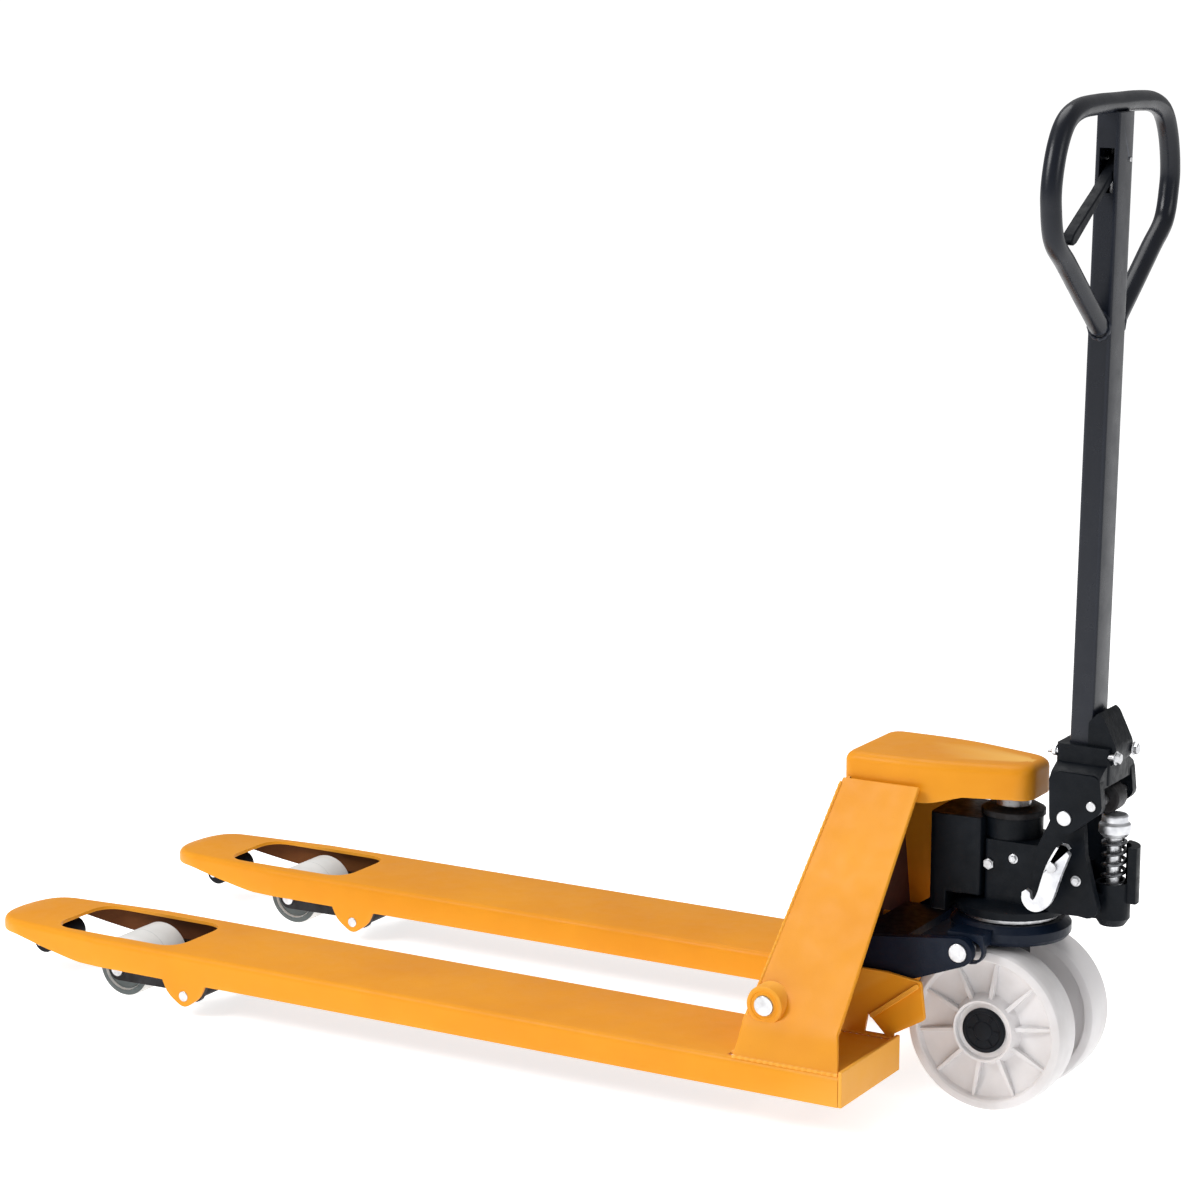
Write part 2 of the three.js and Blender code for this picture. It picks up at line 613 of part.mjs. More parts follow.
function oilReservoir() {
  const front = 1292;
  const tank = alongZ(outline([
    [front, -45, 12], [1360, -45, 4], [1360, 45, 4], [front, 45, 12],
  ]), 256, 351.7);
  const sump = alongZ(outline([
    [front, -45, 12], [1316, -45], [1316, 45], [front, 45, 12],
  ]), 232, 257);
  const room = rodAlongZ(steer.x, 0, cylinder.radius + gap, 240, 360, fineSegments);
  return cut(join(tank, sump), room);
}
addPart("oil_reservoir", oilReservoir(), blackPaint);

function cylinderCap() {
  const low = cylinder.top + gap;
  const inner = ram.radius + gap;
  return turnedAboutZ([
    [inner, low], [cylinder.radius + 3, low], [cylinder.radius + 3, low + 7], [30, low + 12],
    [inner, low + 12], [inner, low],
  ], steer.x, 0, roundSegments);
}
addPart("cylinder_cap", cylinderCap(), darkSteel);

function fillerPlug() {
  const face = 38 + gap;
  return join(rodAlongY(1369, 296, 7, -face - 3, -face, 6), rodAlongY(1369, 296, 5, -face - 5, -face - 2));
}
addPart("filler_plug", fillerPlug(), brightSteel);

// ---------------------------------------------------------------- steering wheels
const wheelOuterY = steer.wheelInnerY + steer.wheelWidth;
const hubFace = 9;
const axleReach = wheelOuterY - hubFace - gap;
const wheelAxle = rodAlongY(steer.x, steer.wheelRadius, steer.axleRadius, -axleReach, axleReach);
addPart("wheel_axle", wheelAxle, brightSteel);

function leftSteerWheel() {
  const [inner, outer] = [-steer.wheelInnerY, -wheelOuterY];
  const radius = steer.wheelRadius;
  const bore = steer.axleRadius + gap;
  const wheel = turnedAboutY([
    [bore, outer + hubFace], [35, outer + hubFace], [38, outer + 4], [42, outer + 15], [80, outer + 9],
    [85, outer],
    [radius - 7, outer], [radius - 2, outer + 3], [radius, outer + 9], [radius, inner - 9],
    [radius - 2, inner - 3], [radius - 7, inner], [85, inner], [80, inner - 9], [42, inner - 15],
    [38, inner - 2], [bore, inner - 2], [bore, outer + hubFace],
  ], steer.x, steer.wheelRadius, fineSegments);
  const ribCount = 8;
  const ribs = Array.from({ length: ribCount }, (_, i) => {
    const rib = new THREE.BoxGeometry(48, 11, 5).translate(61, outer + 11.5, 0);
    rib.rotateY((2 * Math.PI * (i + 0.5)) / ribCount);
    return toSolid(rib.translate(steer.x, 0, steer.wheelRadius));
  });
  return join(wheel, ...ribs);
}
addPair("steer_wheel", leftSteerWheel(), whiteNylon);

function leftHubCap() {
  const outer = -wheelOuterY;
  return turnedAboutY([
    [0, outer + hubFace - gap], [27.5, outer + hubFace - gap], [27.5, outer + 3], [24, outer - 0.5],
    [0, outer - 1.5],
  ], steer.x, steer.wheelRadius, roundSegments);
}
addPair("hub_cap", leftHubCap(), blackRubber);

// ---------------------------------------------------------------- plunger, cap and spring
function plungerRod() {
  const { capTop, radius } = plunger;
  return turnedAboutZ([
    [0, 279.5], [radius, 279.5], [radius, capTop - 28], [15, capTop - 27], [19, capTop - 22],
    [19, capTop - 12],
    [16, capTop - 9], [16, capTop - 2], [14, capTop], [0, capTop],
  ], plunger.x, 0, roundSegments);
}
addPart("plunger", plungerRod(), zincPlate);

const spring = {
  low: barrel.seat + gap, high: plunger.capTop - 28 - gap, radius: 13.2, wire: 2.3, turns: 5.25,
};

function returnSpring() {
  const { low, high, radius, wire, turns } = spring;
  class Helix extends THREE.Curve {
    getPoint(t, target = new THREE.Vector3()) {
      const angle = 2 * Math.PI * turns * t;
      const z = low + wire + (high - low - 2 * wire) * t;
      return target.set(plunger.x + radius * Math.cos(angle), radius * Math.sin(angle), z);
    }
  }
  const section = new THREE.Shape().absarc(0, 0, wire, 0, 2 * Math.PI, false);
  return toSolid(new THREE.ExtrudeGeometry(section, {
    steps: Math.round(turns * 16), curveSegments: 6, extrudePath: new Helix(), bevelEnabled: false,
  }));
}
addPart("return_spring", returnSpring(), zincPlate);

// ---------------------------------------------------------------- release lever
const release = { hingeX: 1462, hingeZ: 312, y: -66, thickness: 8 };

function releaseLever() {
  const { hingeX, hingeZ, y, thickness } = release;
  const [y0, y1] = [y - thickness / 2, y + thickness / 2];
  const knob = wrapCircles([[1474, 331, 8], [1471, 325, 8]], y0 - 2, y1);
  const upper = wrapCircles([[hingeX, hingeZ, 9], [1471, 325, 7]], y0, y1);
  const lower = wrapCircles([[hingeX, hingeZ, 9], [1456, 268, 9]], y0, y1);
  const toe = wrapCircles([[1456, 267, 8], [1443, 262, 7]], y0, y1);
  const hook = wrapCircles([[1441, 262, 6], [1434, 275, 5]], y0, y1);
  const bore = rodAlongY(hingeX, hingeZ, 4 + gap, y0 - 5, y1 + 5);
  return cut(join(knob, upper, lower, toe, hook), bore);
}
addPart("release_lever", releaseLever(), zincPlate);

function releasePin() {
  const { hingeX, hingeZ, y } = release;
  const lugFace = -lugPlate.inner - lugPlate.thickness - gap;
  return join(
    rodAlongY(hingeX, hingeZ, 4, y - 6, lugFace),
    rodAlongY(hingeX, hingeZ, 7, y + 4 + gap, lugFace),
    rodAlongY(hingeX, hingeZ, 6.5, y - 8, y - 4 - gap),
  );
}
addPart("release_pin", releasePin(), darkSteel);

// ---------------------------------------------------------------- handle, drawn upright about its pivot
const handle = new THREE.Group();
handle.position.set(pivot.x, 0, pivot.z);
handle.rotation.y = handleLean;
truck.add(handle);

const socket = { cheekInner: 44, cheekOuter: 56, front: -23, rear: 44, halfWidth: 34 };
const pressureRoller = { x: 33, z: 19, radius: 18, halfWidth: 15, axleRadius: 6 };
const clamp = { y: 28.5, z: 74, radius: 4 };

function handleSocket() {
  const cheek = (y0, y1) => wrapCircles([
    [0, 0, 19], [pressureRoller.x, pressureRoller.z, 13], [-10, 44, 11], [32, 44, 11],
  ], y0, y1);
  const shoulder = alongX(outline([
    [-socket.cheekOuter, 38, 3], [-socket.cheekOuter, 52, 8], [-socket.halfWidth, 64, 6],
    [socket.halfWidth, 64, 6], [socket.cheekOuter, 52, 8], [socket.cheekOuter, 38, 3],
  ]), -20, 42);
  const collar = alongZ(outline([
    [socket.front, -socket.halfWidth, 7], [socket.rear, -socket.halfWidth, 7],
    [socket.rear, socket.halfWidth, 7], [socket.front, socket.halfWidth, 7],
  ]), 40, 84);
  const backWall = alongY(outline([
    [14, 70], [14, 112, 2], [26, 125, 3], [32, 120, 4], [50, 84, 5], [48, 66, 4], [40, 60],
  ]), -27, 27);
  const tubeRoom = block(
    tube.centreX - tube.depth / 2 - gap, tube.centreX + tube.depth / 2 + gap,
    -tube.width / 2 - gap, tube.width / 2 + gap, 20, 130,
  );
  const pivotBore = rodAlongY(0, 0, pivot.radius + gap, -60, 60);
  const axleBore = rodAlongY(pressureRoller.x, pressureRoller.z, pressureRoller.axleRadius + gap, -60, 60);
  const clampBore = [-1, 1].map((side) => rodAlongX(side * clamp.y, clamp.z, clamp.radius + gap, -40, 60));
  const { cheekInner, cheekOuter } = socket;
  const cheeks = join(cheek(-cheekOuter, -cheekInner), cheek(cheekInner, cheekOuter));
  return cut(join(cheeks, shoulder, collar, backWall), tubeRoom, pivotBore, axleBore, ...clampBore);
}
addPart("handle_socket", handleSocket(), blackPaint, handle);
const pinReach = socket.cheekOuter + 2;
const pivotPin = rodAlongY(0, 0, pivot.radius, -pinReach, pinReach, roundSegments);
addPart("pivot_pin", pivotPin, brightSteel, handle);
const pressureAxle = rodAlongY(
  pressureRoller.x, pressureRoller.z, pressureRoller.axleRadius, -pinReach, pinReach,
);
addPart("pressure_axle", pressureAxle, brightSteel, handle);
addPart("pressure_roller", turnedAboutY(
  rollerProfile(pressureRoller.radius, pressureRoller.axleRadius + gap, pressureRoller.halfWidth, 2),
  pressureRoller.x, pressureRoller.z,
), darkSteel, handle);

function clampBolt(side) {
  const y = side * clamp.y;
  const shank = rodAlongX(y, clamp.z, clamp.radius, socket.front - 6, 56, 12);
  const head = rodAlongX(y, clamp.z, 7, socket.front - 7, socket.front - gap, 6);
  const nut = rodAlongX(y, clamp.z, 7, 50.5, 57, 6);
  return join(shank, head, nut);
}
addPart("clamp_bolt_left", clampBolt(-1), brightSteel, handle);
addPart("clamp_bolt_right", clampBolt(1), brightSteel, handle);

function handleTube() {
  const halfDepth = tube.depth / 2;
  const halfWidth = tube.width / 2;
  const section = (inset, rounding) => outline([
    [tube.centreX - halfDepth + inset, -halfWidth + inset, rounding],
    [tube.centreX + halfDepth - inset, -halfWidth + inset, rounding],
    [tube.centreX + halfDepth - inset, halfWidth - inset, rounding],
    [tube.centreX - halfDepth + inset, halfWidth - inset, rounding],
  ]);
  const outer = alongZ(section(0, 4), tube.bottom, tube.top, 3);
  const inner = alongZ(section(tube.wall, 2), tube.bottom - 1, tube.top + 1, 2);
  const leverSlot = block(
    tube.centreX - lever.width / 2 - 1, tube.centreX + lever.width / 2 + 1,
    -halfWidth - 1, -halfWidth + 6, lever.hingeZ - 37, lever.hingeZ + 14,
  );
  const pinBore = rodAlongX(lever.hingeY, lever.hingeZ, 3 + gap, -30, 40, 12);
  return cut(outer, inner, leverSlot, pinBore);
}
addPart("handle_tube", handleTube(), blackPaint, handle);

function gripLoop() {
  const { tubeRadius, x, halfWidth, barZ, wideZ, narrowZ } = loop;
  const half = [
    [14, narrowZ - 11], [70, narrowZ + 30], [130, narrowZ + 75], [halfWidth - 13, wideZ - 53],
    [halfWidth, wideZ - 15], [halfWidth, wideZ + 15], [halfWidth - 12, wideZ + 51],
    [halfWidth - 34, barZ - 15], [112, barZ - 3], [60, barZ], [0, barZ],
  ];
  const rightHalf = half.map(([y, z]) => new THREE.Vector3(x, y, z));
  const leftHalf = half.slice(0, -1).reverse().map(([y, z]) => new THREE.Vector3(x, -y, z));
  const path = new THREE.CatmullRomCurve3([...rightHalf, ...leftHalf], false, "centripetal");
  const section = new THREE.Shape().absarc(0, 0, tubeRadius, 0, 2 * Math.PI, false);
  const bent = toSolid(new THREE.ExtrudeGeometry(section, {
    steps: 60, curveSegments: 12, extrudePath: path, bevelEnabled: false,
  }));
  const tubeRoom = block(
    tube.centreX - tube.depth / 2 - gap, tube.centreX + tube.depth / 2 + gap,
    -tube.width / 2 - gap, tube.width / 2 + gap, narrowZ - 80, tube.top + gap,
  );
  const halfGap = tube.width / 2 + gap;
  const beside = block(x - 40, x + 40, -halfGap, halfGap, narrowZ - 80, narrowZ + 80);
  return cut(bent, tubeRoom, beside);
}
addPart("grip_loop", gripLoop(), blackPaint, handle);

// ---------------------------------------------------------------- control lever and pull rod
function controlLever() {
  const { hingeY, hingeZ, tipY, tipZ, thickness, width } = lever;
  const alongLever = new THREE.Vector2(tipY - hingeY, tipZ - hingeZ);
  const at = (t) => [hingeY + alongLever.x * t, hingeZ + alongLever.y * t];
  const points = [];
  const x0 = tube.centreX - width / 2;
  for (const [t, radius] of [[0, thickness / 2], [0.4, thickness / 2 - 1], [1, thickness / 2]]) {
    const [y, z] = at(t);
    for (let i = 0; i < pinSegments; i += 1) {
      const angle = (2 * Math.PI * i) / pinSegments;
      for (const x of [x0, x0 + width]) {
        points.push(new THREE.Vector3(x, y + radius * Math.cos(angle), z + radius * Math.sin(angle)));
      }
    }
  }
  return cut(toSolid(new ConvexGeometry(points)), rodAlongX(hingeY, hingeZ, 3 + gap, -30, 40, 12));
}
addPart("control_lever", controlLever(), blackRubber, handle);
addPart("lever_pin", rodAlongX(lever.hingeY, lever.hingeZ, 3,
  tube.centreX - tube.depth / 2 - 2, tube.centreX + tube.depth / 2 + 2, 12), brightSteel, handle);
addPart("pull_rod", rodAlongZ(tube.centreX, -2, 4, 80, lever.hingeZ - 22, 12), zincPlate, handle);

export default truck;
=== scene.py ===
import math

import bmesh
import bpy
from mathutils import Matrix, Vector


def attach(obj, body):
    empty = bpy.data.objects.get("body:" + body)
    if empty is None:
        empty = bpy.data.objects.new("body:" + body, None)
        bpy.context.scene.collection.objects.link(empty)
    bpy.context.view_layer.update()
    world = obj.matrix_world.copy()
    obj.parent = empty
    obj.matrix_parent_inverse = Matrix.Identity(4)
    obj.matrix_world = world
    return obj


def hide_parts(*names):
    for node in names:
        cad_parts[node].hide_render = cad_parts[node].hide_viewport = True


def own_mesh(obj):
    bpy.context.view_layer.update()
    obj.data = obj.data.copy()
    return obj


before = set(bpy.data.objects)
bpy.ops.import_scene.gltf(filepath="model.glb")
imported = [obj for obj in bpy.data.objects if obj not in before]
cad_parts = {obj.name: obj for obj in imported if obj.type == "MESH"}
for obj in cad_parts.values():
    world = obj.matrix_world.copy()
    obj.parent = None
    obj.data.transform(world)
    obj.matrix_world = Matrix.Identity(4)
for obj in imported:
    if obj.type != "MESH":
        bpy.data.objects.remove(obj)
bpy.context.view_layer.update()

LENGTH = 1543.0
MM = 0.001
TRUCK = Matrix.Translation((-LENGTH / 2 * MM, 0, 0))
# The handle's own axes start at its pivot pin and lean with the tube.
HANDLE_LEAN = math.radians(0.84)
PIVOT = (1470.0, 369.0)
HANDLE = TRUCK @ Matrix.Translation((PIVOT[0] * MM, 0, PIVOT[1] * MM)) @ Matrix.Rotation(HANDLE_LEAN, 4, "Y")


# ---------------------------------------------------------------- materials
def new_material(name, colour, roughness, metallic=0.0, specular=0.5, coat=0.0, coat_roughness=0.1):
    material = bpy.data.materials.new(name)
    material.use_nodes = True
    shader = material.node_tree.nodes["Principled BSDF"]
    shader.inputs["Base Color"].default_value = (*colour, 1)
    shader.inputs["Roughness"].default_value = roughness
    shader.inputs["Metallic"].default_value = metallic
    shader.inputs["Specular IOR Level"].default_value = specular
    shader.inputs["Coat Weight"].default_value = coat
    shader.inputs["Coat Roughness"].default_value = coat_roughness
    return material


def noise(material, scale, detail):
    """A noise texture in the piece's own coordinates."""
    nodes, links = material.node_tree.nodes, material.node_tree.links
    coordinates = nodes.new("ShaderNodeTexCoord")
    texture = nodes.new("ShaderNodeTexNoise")
    texture.inputs["Scale"].default_value = scale
    texture.inputs["Detail"].default_value = detail
    links.new(coordinates.outputs["Object"], texture.inputs["Vector"])
    return texture.outputs["Fac"]


def remap(material, value, low_in, high_in, low_out, high_out):
    node = material.node_tree.nodes.new("ShaderNodeMapRange")
    limits = {"From Min": low_in, "From Max": high_in, "To Min": low_out, "To Max": high_out}
    for socket, number in limits.items():
        node.inputs[socket].default_value = number
    material.node_tree.links.new(value, node.inputs["Value"])
    return node.outputs["Result"]


def blend_colours(material, factor, first, second):
    """Mixes two colours, each a colour or another node's output, by the factor."""
    node = material.node_tree.nodes.new("ShaderNodeMix")
    node.data_type = "RGBA"
    links = material.node_tree.links
    links.new(factor, node.inputs["Factor"])
    for socket, colour in ((node.inputs["A"], first), (node.inputs["B"], second)):
        if isinstance(colour, tuple):
            socket.default_value = (*colour, 1)
        else:
            links.new(colour, socket)
    return node.outputs["Result"]


def edge_mask(material, low, high):
    """0 on flat faces, 1 along convex edges."""
    geometry = material.node_tree.nodes.new("ShaderNodeNewGeometry")
    return remap(material, geometry.outputs["Pointiness"], low, high, 0, 1)


def set_colour(material, colour):
    material.node_tree.links.new(colour, material.node_tree.nodes["Principled BSDF"].inputs["Base Color"])


def vary_roughness(material, roughness, scale, detail, smoother, rougher):
    """Lets the roughness drift either side of its mean, patch by patch."""
    drift = noise(material, scale, detail)
    value = remap(material, drift, 0.3, 0.7, roughness - smoother, roughness + rougher)
    material.node_tree.links.new(value, material.node_tree.nodes["Principled BSDF"].inputs["Roughness"])


def set_bump(material, height, strength, distance):
    nodes, links = material.node_tree.nodes, material.node_tree.links
    bump = nodes.new("ShaderNodeBump")
    bump.inputs["Strength"].default_value = strength
    bump.inputs["Distance"].default_value = distance
    links.new(height, bump.inputs["Height"])
    links.new(bump.outputs["Normal"], nodes["Principled BSDF"].inputs["Normal"])


def paint(name, base, shade, edge, roughness, specular, coat):
    """Sprayed paint: uneven film and orange peel, with a painted highlight in a lighter colour along the
    convex edges.
    """
    material = new_material(name, base, roughness, specular=specular, coat=coat, coat_roughness=0.16)
    film = blend_colours(material, remap(material, noise(material, 9, 4), 0.35, 0.7, 0, 1), base, shade)
    specks = remap(material, noise(material, 160, 2), 0.66, 0.74, 0, 0.35)
    film = blend_colours(material, specks, film, shade)
    # Painted highlight: the convex edges take the third, lighter colour.
    set_colour(material, blend_colours(material, edge_mask(material, 0.53, 0.62), film, edge))
    vary_roughness(material, roughness, 40, 4, 0.06, 0.08)
    set_bump(material, noise(material, 420, 2), 0.12, 0.0004)
    return material


def paint_shade_facing(material, axis, first, second, both_ways=False):
    """Paints shade onto the faces that look along an axis of the piece, in another, darker, mottled colour.
    """
    nodes, links = material.node_tree.nodes, material.node_tree.links
    outside = nodes["Principled BSDF"].inputs["Base Color"].links[0].from_socket
    coordinates = nodes.new("ShaderNodeTexCoord")
    split = nodes.new("ShaderNodeSeparateXYZ")
    links.new(coordinates.outputs["Normal"], split.inputs["Vector"])
    towards = split.outputs[axis]
    if both_ways:
        size = nodes.new("ShaderNodeMath")
        size.operation = "ABSOLUTE"
        links.new(towards, size.inputs[0])
        towards = size.outputs[0]
    mottled = blend_colours(material, noise(material, 14, 4), first, second)
    set_colour(material, blend_colours(material, remap(material, towards, 0.5, 0.8, 0, 1), outside, mottled))


def steel(name, colour, shade, roughness, metallic=1.0):
    """Bare or plated steel with a fine surface grain and a few dull patches."""
    material = new_material(name, colour, roughness, metallic=metallic)
    patches = remap(material, noise(material, 45, 4), 0.4, 0.65, 0, 1)
    set_colour(material, blend_colours(material, patches, colour, shade))
    vary_roughness(material, roughness, 300, 3, 0.08, 0.14)
    set_bump(material, noise(material, 900, 2), 0.15, 0.0002)
    return material


def casting(name, colour, shade, roughness, specular):
    """Painted sand casting: a pebbled skin under the paint."""
    material = new_material(name, colour, roughness, specular=specular)
    patches = remap(material, noise(material, 25, 5), 0.35, 0.7, 0, 1)
    set_colour(material, blend_colours(material, patches, colour, shade))
    vary_roughness(material, roughness, 90, 4, 0.1, 0.12)
    set_bump(material, noise(material, 260, 4), 0.35, 0.0008)
    return material


def moulding(name, colour, shade, roughness, scale, specular, subsurface=0.0):
    """Moulded or turned plastic with scuffs."""
    material = new_material(name, colour, roughness, specular=specular)
    shader = material.node_tree.nodes["Principled BSDF"]
    shader.inputs["Subsurface Weight"].default_value = subsurface
    shader.inputs["Subsurface Radius"].default_value = (0.004, 0.0038, 0.0036)
    scuffs = remap(material, noise(material, scale, 6), 0.45, 0.75, 0, 1)
    set_colour(material, blend_colours(material, scuffs, colour, shade))
    vary_roughness(material, roughness, 3 * scale, 4, 0.08, 0.12)
    set_bump(material, noise(material, 8 * scale, 3), 0.12, 0.0004)
    return material


# The third colour of each paint is a painted highlight along its edges.
YELLOW_FILM = ((0.80, 0.315, 0.012), (0.75, 0.28, 0.009), (0.93, 0.50, 0.10), 0.45, 0.2, 0.03)
YELLOW = paint("yellow_paint", *YELLOW_FILM)
FRONT_PLATE = paint("front_plate_paint", *YELLOW_FILM)
# Painted shade: the front plate's rear faces, which look along +X into the frame, are dark red-brown where
# shade falls.
paint_shade_facing(FRONT_PLATE, "X", (0.045, 0.010, 0.010), (0.022, 0.006, 0.007))
# Painted shade: a dark, shaded copy of the yellow paint for the inside of the fork channels.
PAINTED_SHADE_INSIDE = paint("channel_inside_painted_shade", (0.16, 0.055, 0.014), (0.09, 0.028, 0.009), (0.22, 0.09, 0.02),
               0.6, 0.1, 0.0)
BLACK = paint("black_paint", (0.0055, 0.0075, 0.0135), (0.004, 0.0055, 0.010), (0.028, 0.034, 0.052),
              0.3, 0.3, 0.04)
CAST = casting("cast_black", (0.0022, 0.0038, 0.0062), (0.0045, 0.0065, 0.010), 0.42, 0.14)
NAVY = casting("navy_paint", (0.0022, 0.0062, 0.0165), (0.0035, 0.0085, 0.021), 0.38, 0.2)
DARK_STEEL = steel("dark_steel", (0.035, 0.035, 0.038), (0.018, 0.016, 0.016), 0.5, metallic=0.8)
BRIGHT = steel("bright_steel", (0.72, 0.73, 0.75), (0.5, 0.5, 0.51), 0.34)
ZINC = steel("zinc_plate", (0.82, 0.83, 0.85), (0.62, 0.63, 0.66), 0.42)
NYLON = moulding("white_nylon", (0.76, 0.74, 0.745), (0.64, 0.615, 0.61), 0.42, 14, 0.35, subsurface=0.15)
ROLLER = moulding("roller_nylon", (0.76, 0.75, 0.73), (0.66, 0.65, 0.63), 0.45, 20, 0.3)
# Painted shade: the roller's end faces, which sit in the fork's shadow, are dark grey.
paint_shade_facing(ROLLER, "Y", (0.13, 0.155, 0.155), (0.09, 0.105, 0.105), both_ways=True)
SPRING_STEEL = steel("spring_steel", (0.16, 0.165, 0.175), (0.05, 0.05, 0.055), 0.28, metallic=0.9)
PLASTIC = moulding("black_plastic", (0.0050, 0.0065, 0.0095), (0.0090, 0.0105, 0.014), 0.5, 30, 0.14)


# ---------------------------------------------------------------- building pieces
def sided(name, side):
    """The name of a left (-1) or right (+1) piece or node."""
    return f"{name}_left" if side < 0 else f"{name}_right"


def sided_body(name, side):
    return f"{name}_l" if side < 0 else f"{name}_r"


def add_piece(name, mesh, material, body, replaces=()):
    piece = bpy.data.objects.new(name, mesh)
    bpy.context.scene.collection.objects.link(piece)
    mesh.materials.append(material)
    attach(piece, body)
    if replaces:
        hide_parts(*replaces)
    return piece


def make_mesh(name, points, faces, place=TRUCK, sharp=35):
    mesh = bpy.data.meshes.new(name)
    mesh.from_pydata([place @ (Vector(p) * MM) for p in points], [], faces)
    mesh.validate()
    mesh.update()
    shade(mesh, sharp)
    return mesh


def shade(mesh, sharp=35):
    mesh.shade_smooth()
    mesh.set_sharp_from_angle(angle=math.radians(sharp))


def bevel(piece, width, segments=2, angle=35):
    modifier = piece.modifiers.new("bevel", "BEVEL")
    modifier.width = width * MM
    modifier.segments = segments
    modifier.limit_method = "ANGLE"
    modifier.angle_limit = math.radians(angle)
    modifier.harden_normals = True


def apply_modifiers(piece):
    """Bakes a piece's modifiers into a new mesh of its own."""
    bpy.context.view_layer.update()
    evaluated = piece.evaluated_get(bpy.context.evaluated_depsgraph_get())
    mesh = bpy.data.meshes.new_from_object(evaluated)
    piece.modifiers.clear()
    piece.data = mesh
    shade(mesh)


def fix_normals(mesh, is_sheet=False):
    """Turns all the faces outwards, or upwards where the mesh is an open sheet."""
    work = bmesh.new()
    work.from_mesh(mesh)
    bmesh.ops.recalc_face_normals(work, faces=work.faces)
    if is_sheet:
        inside_out = sum(f.normal.z * f.calc_area() for f in work.faces) < 0
    else:
        inside_out = work.calc_volume(signed=True) < 0
    if inside_out:
        bmesh.ops.reverse_faces(work, faces=work.faces)
    work.to_mesh(mesh)
    work.free()


def thicken(piece, thickness):
    """Gives a sheet its thickness, inwards from its outer face."""
    sheet = piece.modifiers.new("sheet", "SOLIDIFY")
    sheet.thickness = thickness * MM
    sheet.offset = -1
    return sheet


def lathe(profile, segments=64):
    """Points and faces of a closed profile of (radius, height) turned about Z."""
    points, faces = [], []
    count = len(profile)
    for i in range(segments):
        angle = 2 * math.pi * i / segments
        points += [(r * math.cos(angle), r * math.sin(angle), z) for r, z in profile]
    for i in range(segments):
        here, after = i * count, (i + 1) % segments * count
        for j in range(count):
            k = (j + 1) % count
            if profile[j][0] == 0 and profile[k][0] == 0:
                continue
            if profile[j][0] == 0:
                faces.append((here + j, after + k, here + k))
            elif profile[k][0] == 0:
                faces.append((here + j, after + j, here + k))
            else:
                faces.append((here + j, after + j, after + k, here + k))
    return points, faces


def merge(*shapes):
    points, faces = [], []
    for shape_points, shape_faces in shapes:
        start = len(points)
        points += list(shape_points)
        faces += [tuple(start + i for i in face) for face in shape_faces]
    return points, faces


def turned(shape, matrix):
    points, faces = shape
    return [tuple(matrix @ Vector(p)) for p in points], faces


def to_y(x, y, z, side=-1):
    """Turns a shape's Z axis to point out sideways, and moves it to the point given."""
    return Matrix.Translation((x, y, z)) @ Matrix.Rotation(math.radians(90 if side < 0 else -90), 4, "X")


def to_x(x, y, z, sign=1):
    """Turns a shape's Z axis to point along the truck, and moves it to the point given."""
    return Matrix.Translation((x, y, z)) @ Matrix.Rotation(math.radians(90 * sign), 4, "Y")


def prism(outline, low, high):
    """A plan outline of (x, y) points made solid from low to high."""
    count = len(outline)
    points = [(x, y, low) for x, y in outline] + [(x, y, high) for x, y in outline]
    faces = [tuple(reversed(range(count))), tuple(range(count, 2 * count))]
    faces += [(i, (i + 1) % count, count + (i + 1) % count, count + i) for i in range(count)]
    return points, faces


def rounded(corners, steps=6):
    """A closed outline whose corners (x, y, rounding) are rounded."""
    points = []
    count = len(corners)
    for i, (x, y, size) in enumerate(corners):
        here = Vector((x, y))
        if size == 0:
            points.append((x, y))
            continue
        before = Vector(corners[i - 1][:2])
        after = Vector(corners[(i + 1) % count][:2])
        start = here + (before - here).normalized() * size
        end = here + (after - here).normalized() * size
        for k in range(steps + 1):
            t = k / steps
            p = start * (1 - t) ** 2 + here * 2 * t * (1 - t) + end * t ** 2
            points.append((p.x, p.y))
    return points


def sweep(path, radius, segments=16, closed=False):
    """A round bar along a path of points."""
    path = [Vector(p) for p in path]
    count = len(path)
    tangents = []
    for i in range(count):
        before = path[i - 1] if closed or i > 0 else path[i]
        after = path[(i + 1) % count] if closed or i < count - 1 else path[i]
        tangents.append((after - before).normalized())
    normal = tangents[0].orthogonal().normalized()
    points, faces = [], []
    for centre, tangent in zip(path, tangents):
        normal = (normal - tangent * normal.dot(tangent)).normalized()
        across = tangent.cross(normal)
        for k in range(segments):
            angle = 2 * math.pi * k / segments
            points.append(tuple(centre + radius * (math.cos(angle) * normal + math.sin(angle) * across)))
    rings = count if closed else count - 1
    for i in range(rings):
        here, after = i * segments, (i + 1) % count * segments
        for k in range(segments):
            n = (k + 1) % segments
            faces.append((here + k, here + n, after + n, after + k))
    if not closed:
        faces.append(tuple(reversed(range(segments))))
        faces.append(tuple((count - 1) * segments + k for k in range(segments)))
    return points, faces


def smooth_path(corners, steps):
    """A Catmull-Rom curve through the given points."""
    points = [Vector(c) for c in corners]
    points = [2 * points[0] - points[1]] + points + [2 * points[-1] - points[-2]]
    curve = []
    for p0, p1, p2, p3 in zip(points, points[1:], points[2:], points[3:]):
        for k in range(steps):
            t = k / steps
            curve.append(0.5 * (2 * p1 + (p2 - p0) * t + (2 * p0 - 5 * p1 + 4 * p2 - p3) * t ** 2
                                + (3 * p1 - p0 - 3 * p2 + p3) * t ** 3))
    curve.append(points[-2])
    return [tuple(p) for p in curve]


def bead(path, radius, closed=False):
    """A weld bead: a bar whose ripples follow one another."""
    segments = 8
    points, faces = sweep(path, radius, segments, closed)
    rippled = []
    for i, p in enumerate(points):
        ring = i // segments
        centre = Vector(path[ring])
        rippled.append(tuple(centre + (Vector(p) - centre) * (1 + 0.18 * math.sin(1.9 * ring))))
    return rippled, faces


def line(start, end):
    """Points along a straight weld, close enough together to carry its ripples."""
    step = 2.5
    start, end = Vector(start), Vector(end)
    count = max(2, round((end - start).length / step))
    return [tuple(start.lerp(end, i / count)) for i in range(count + 1)]


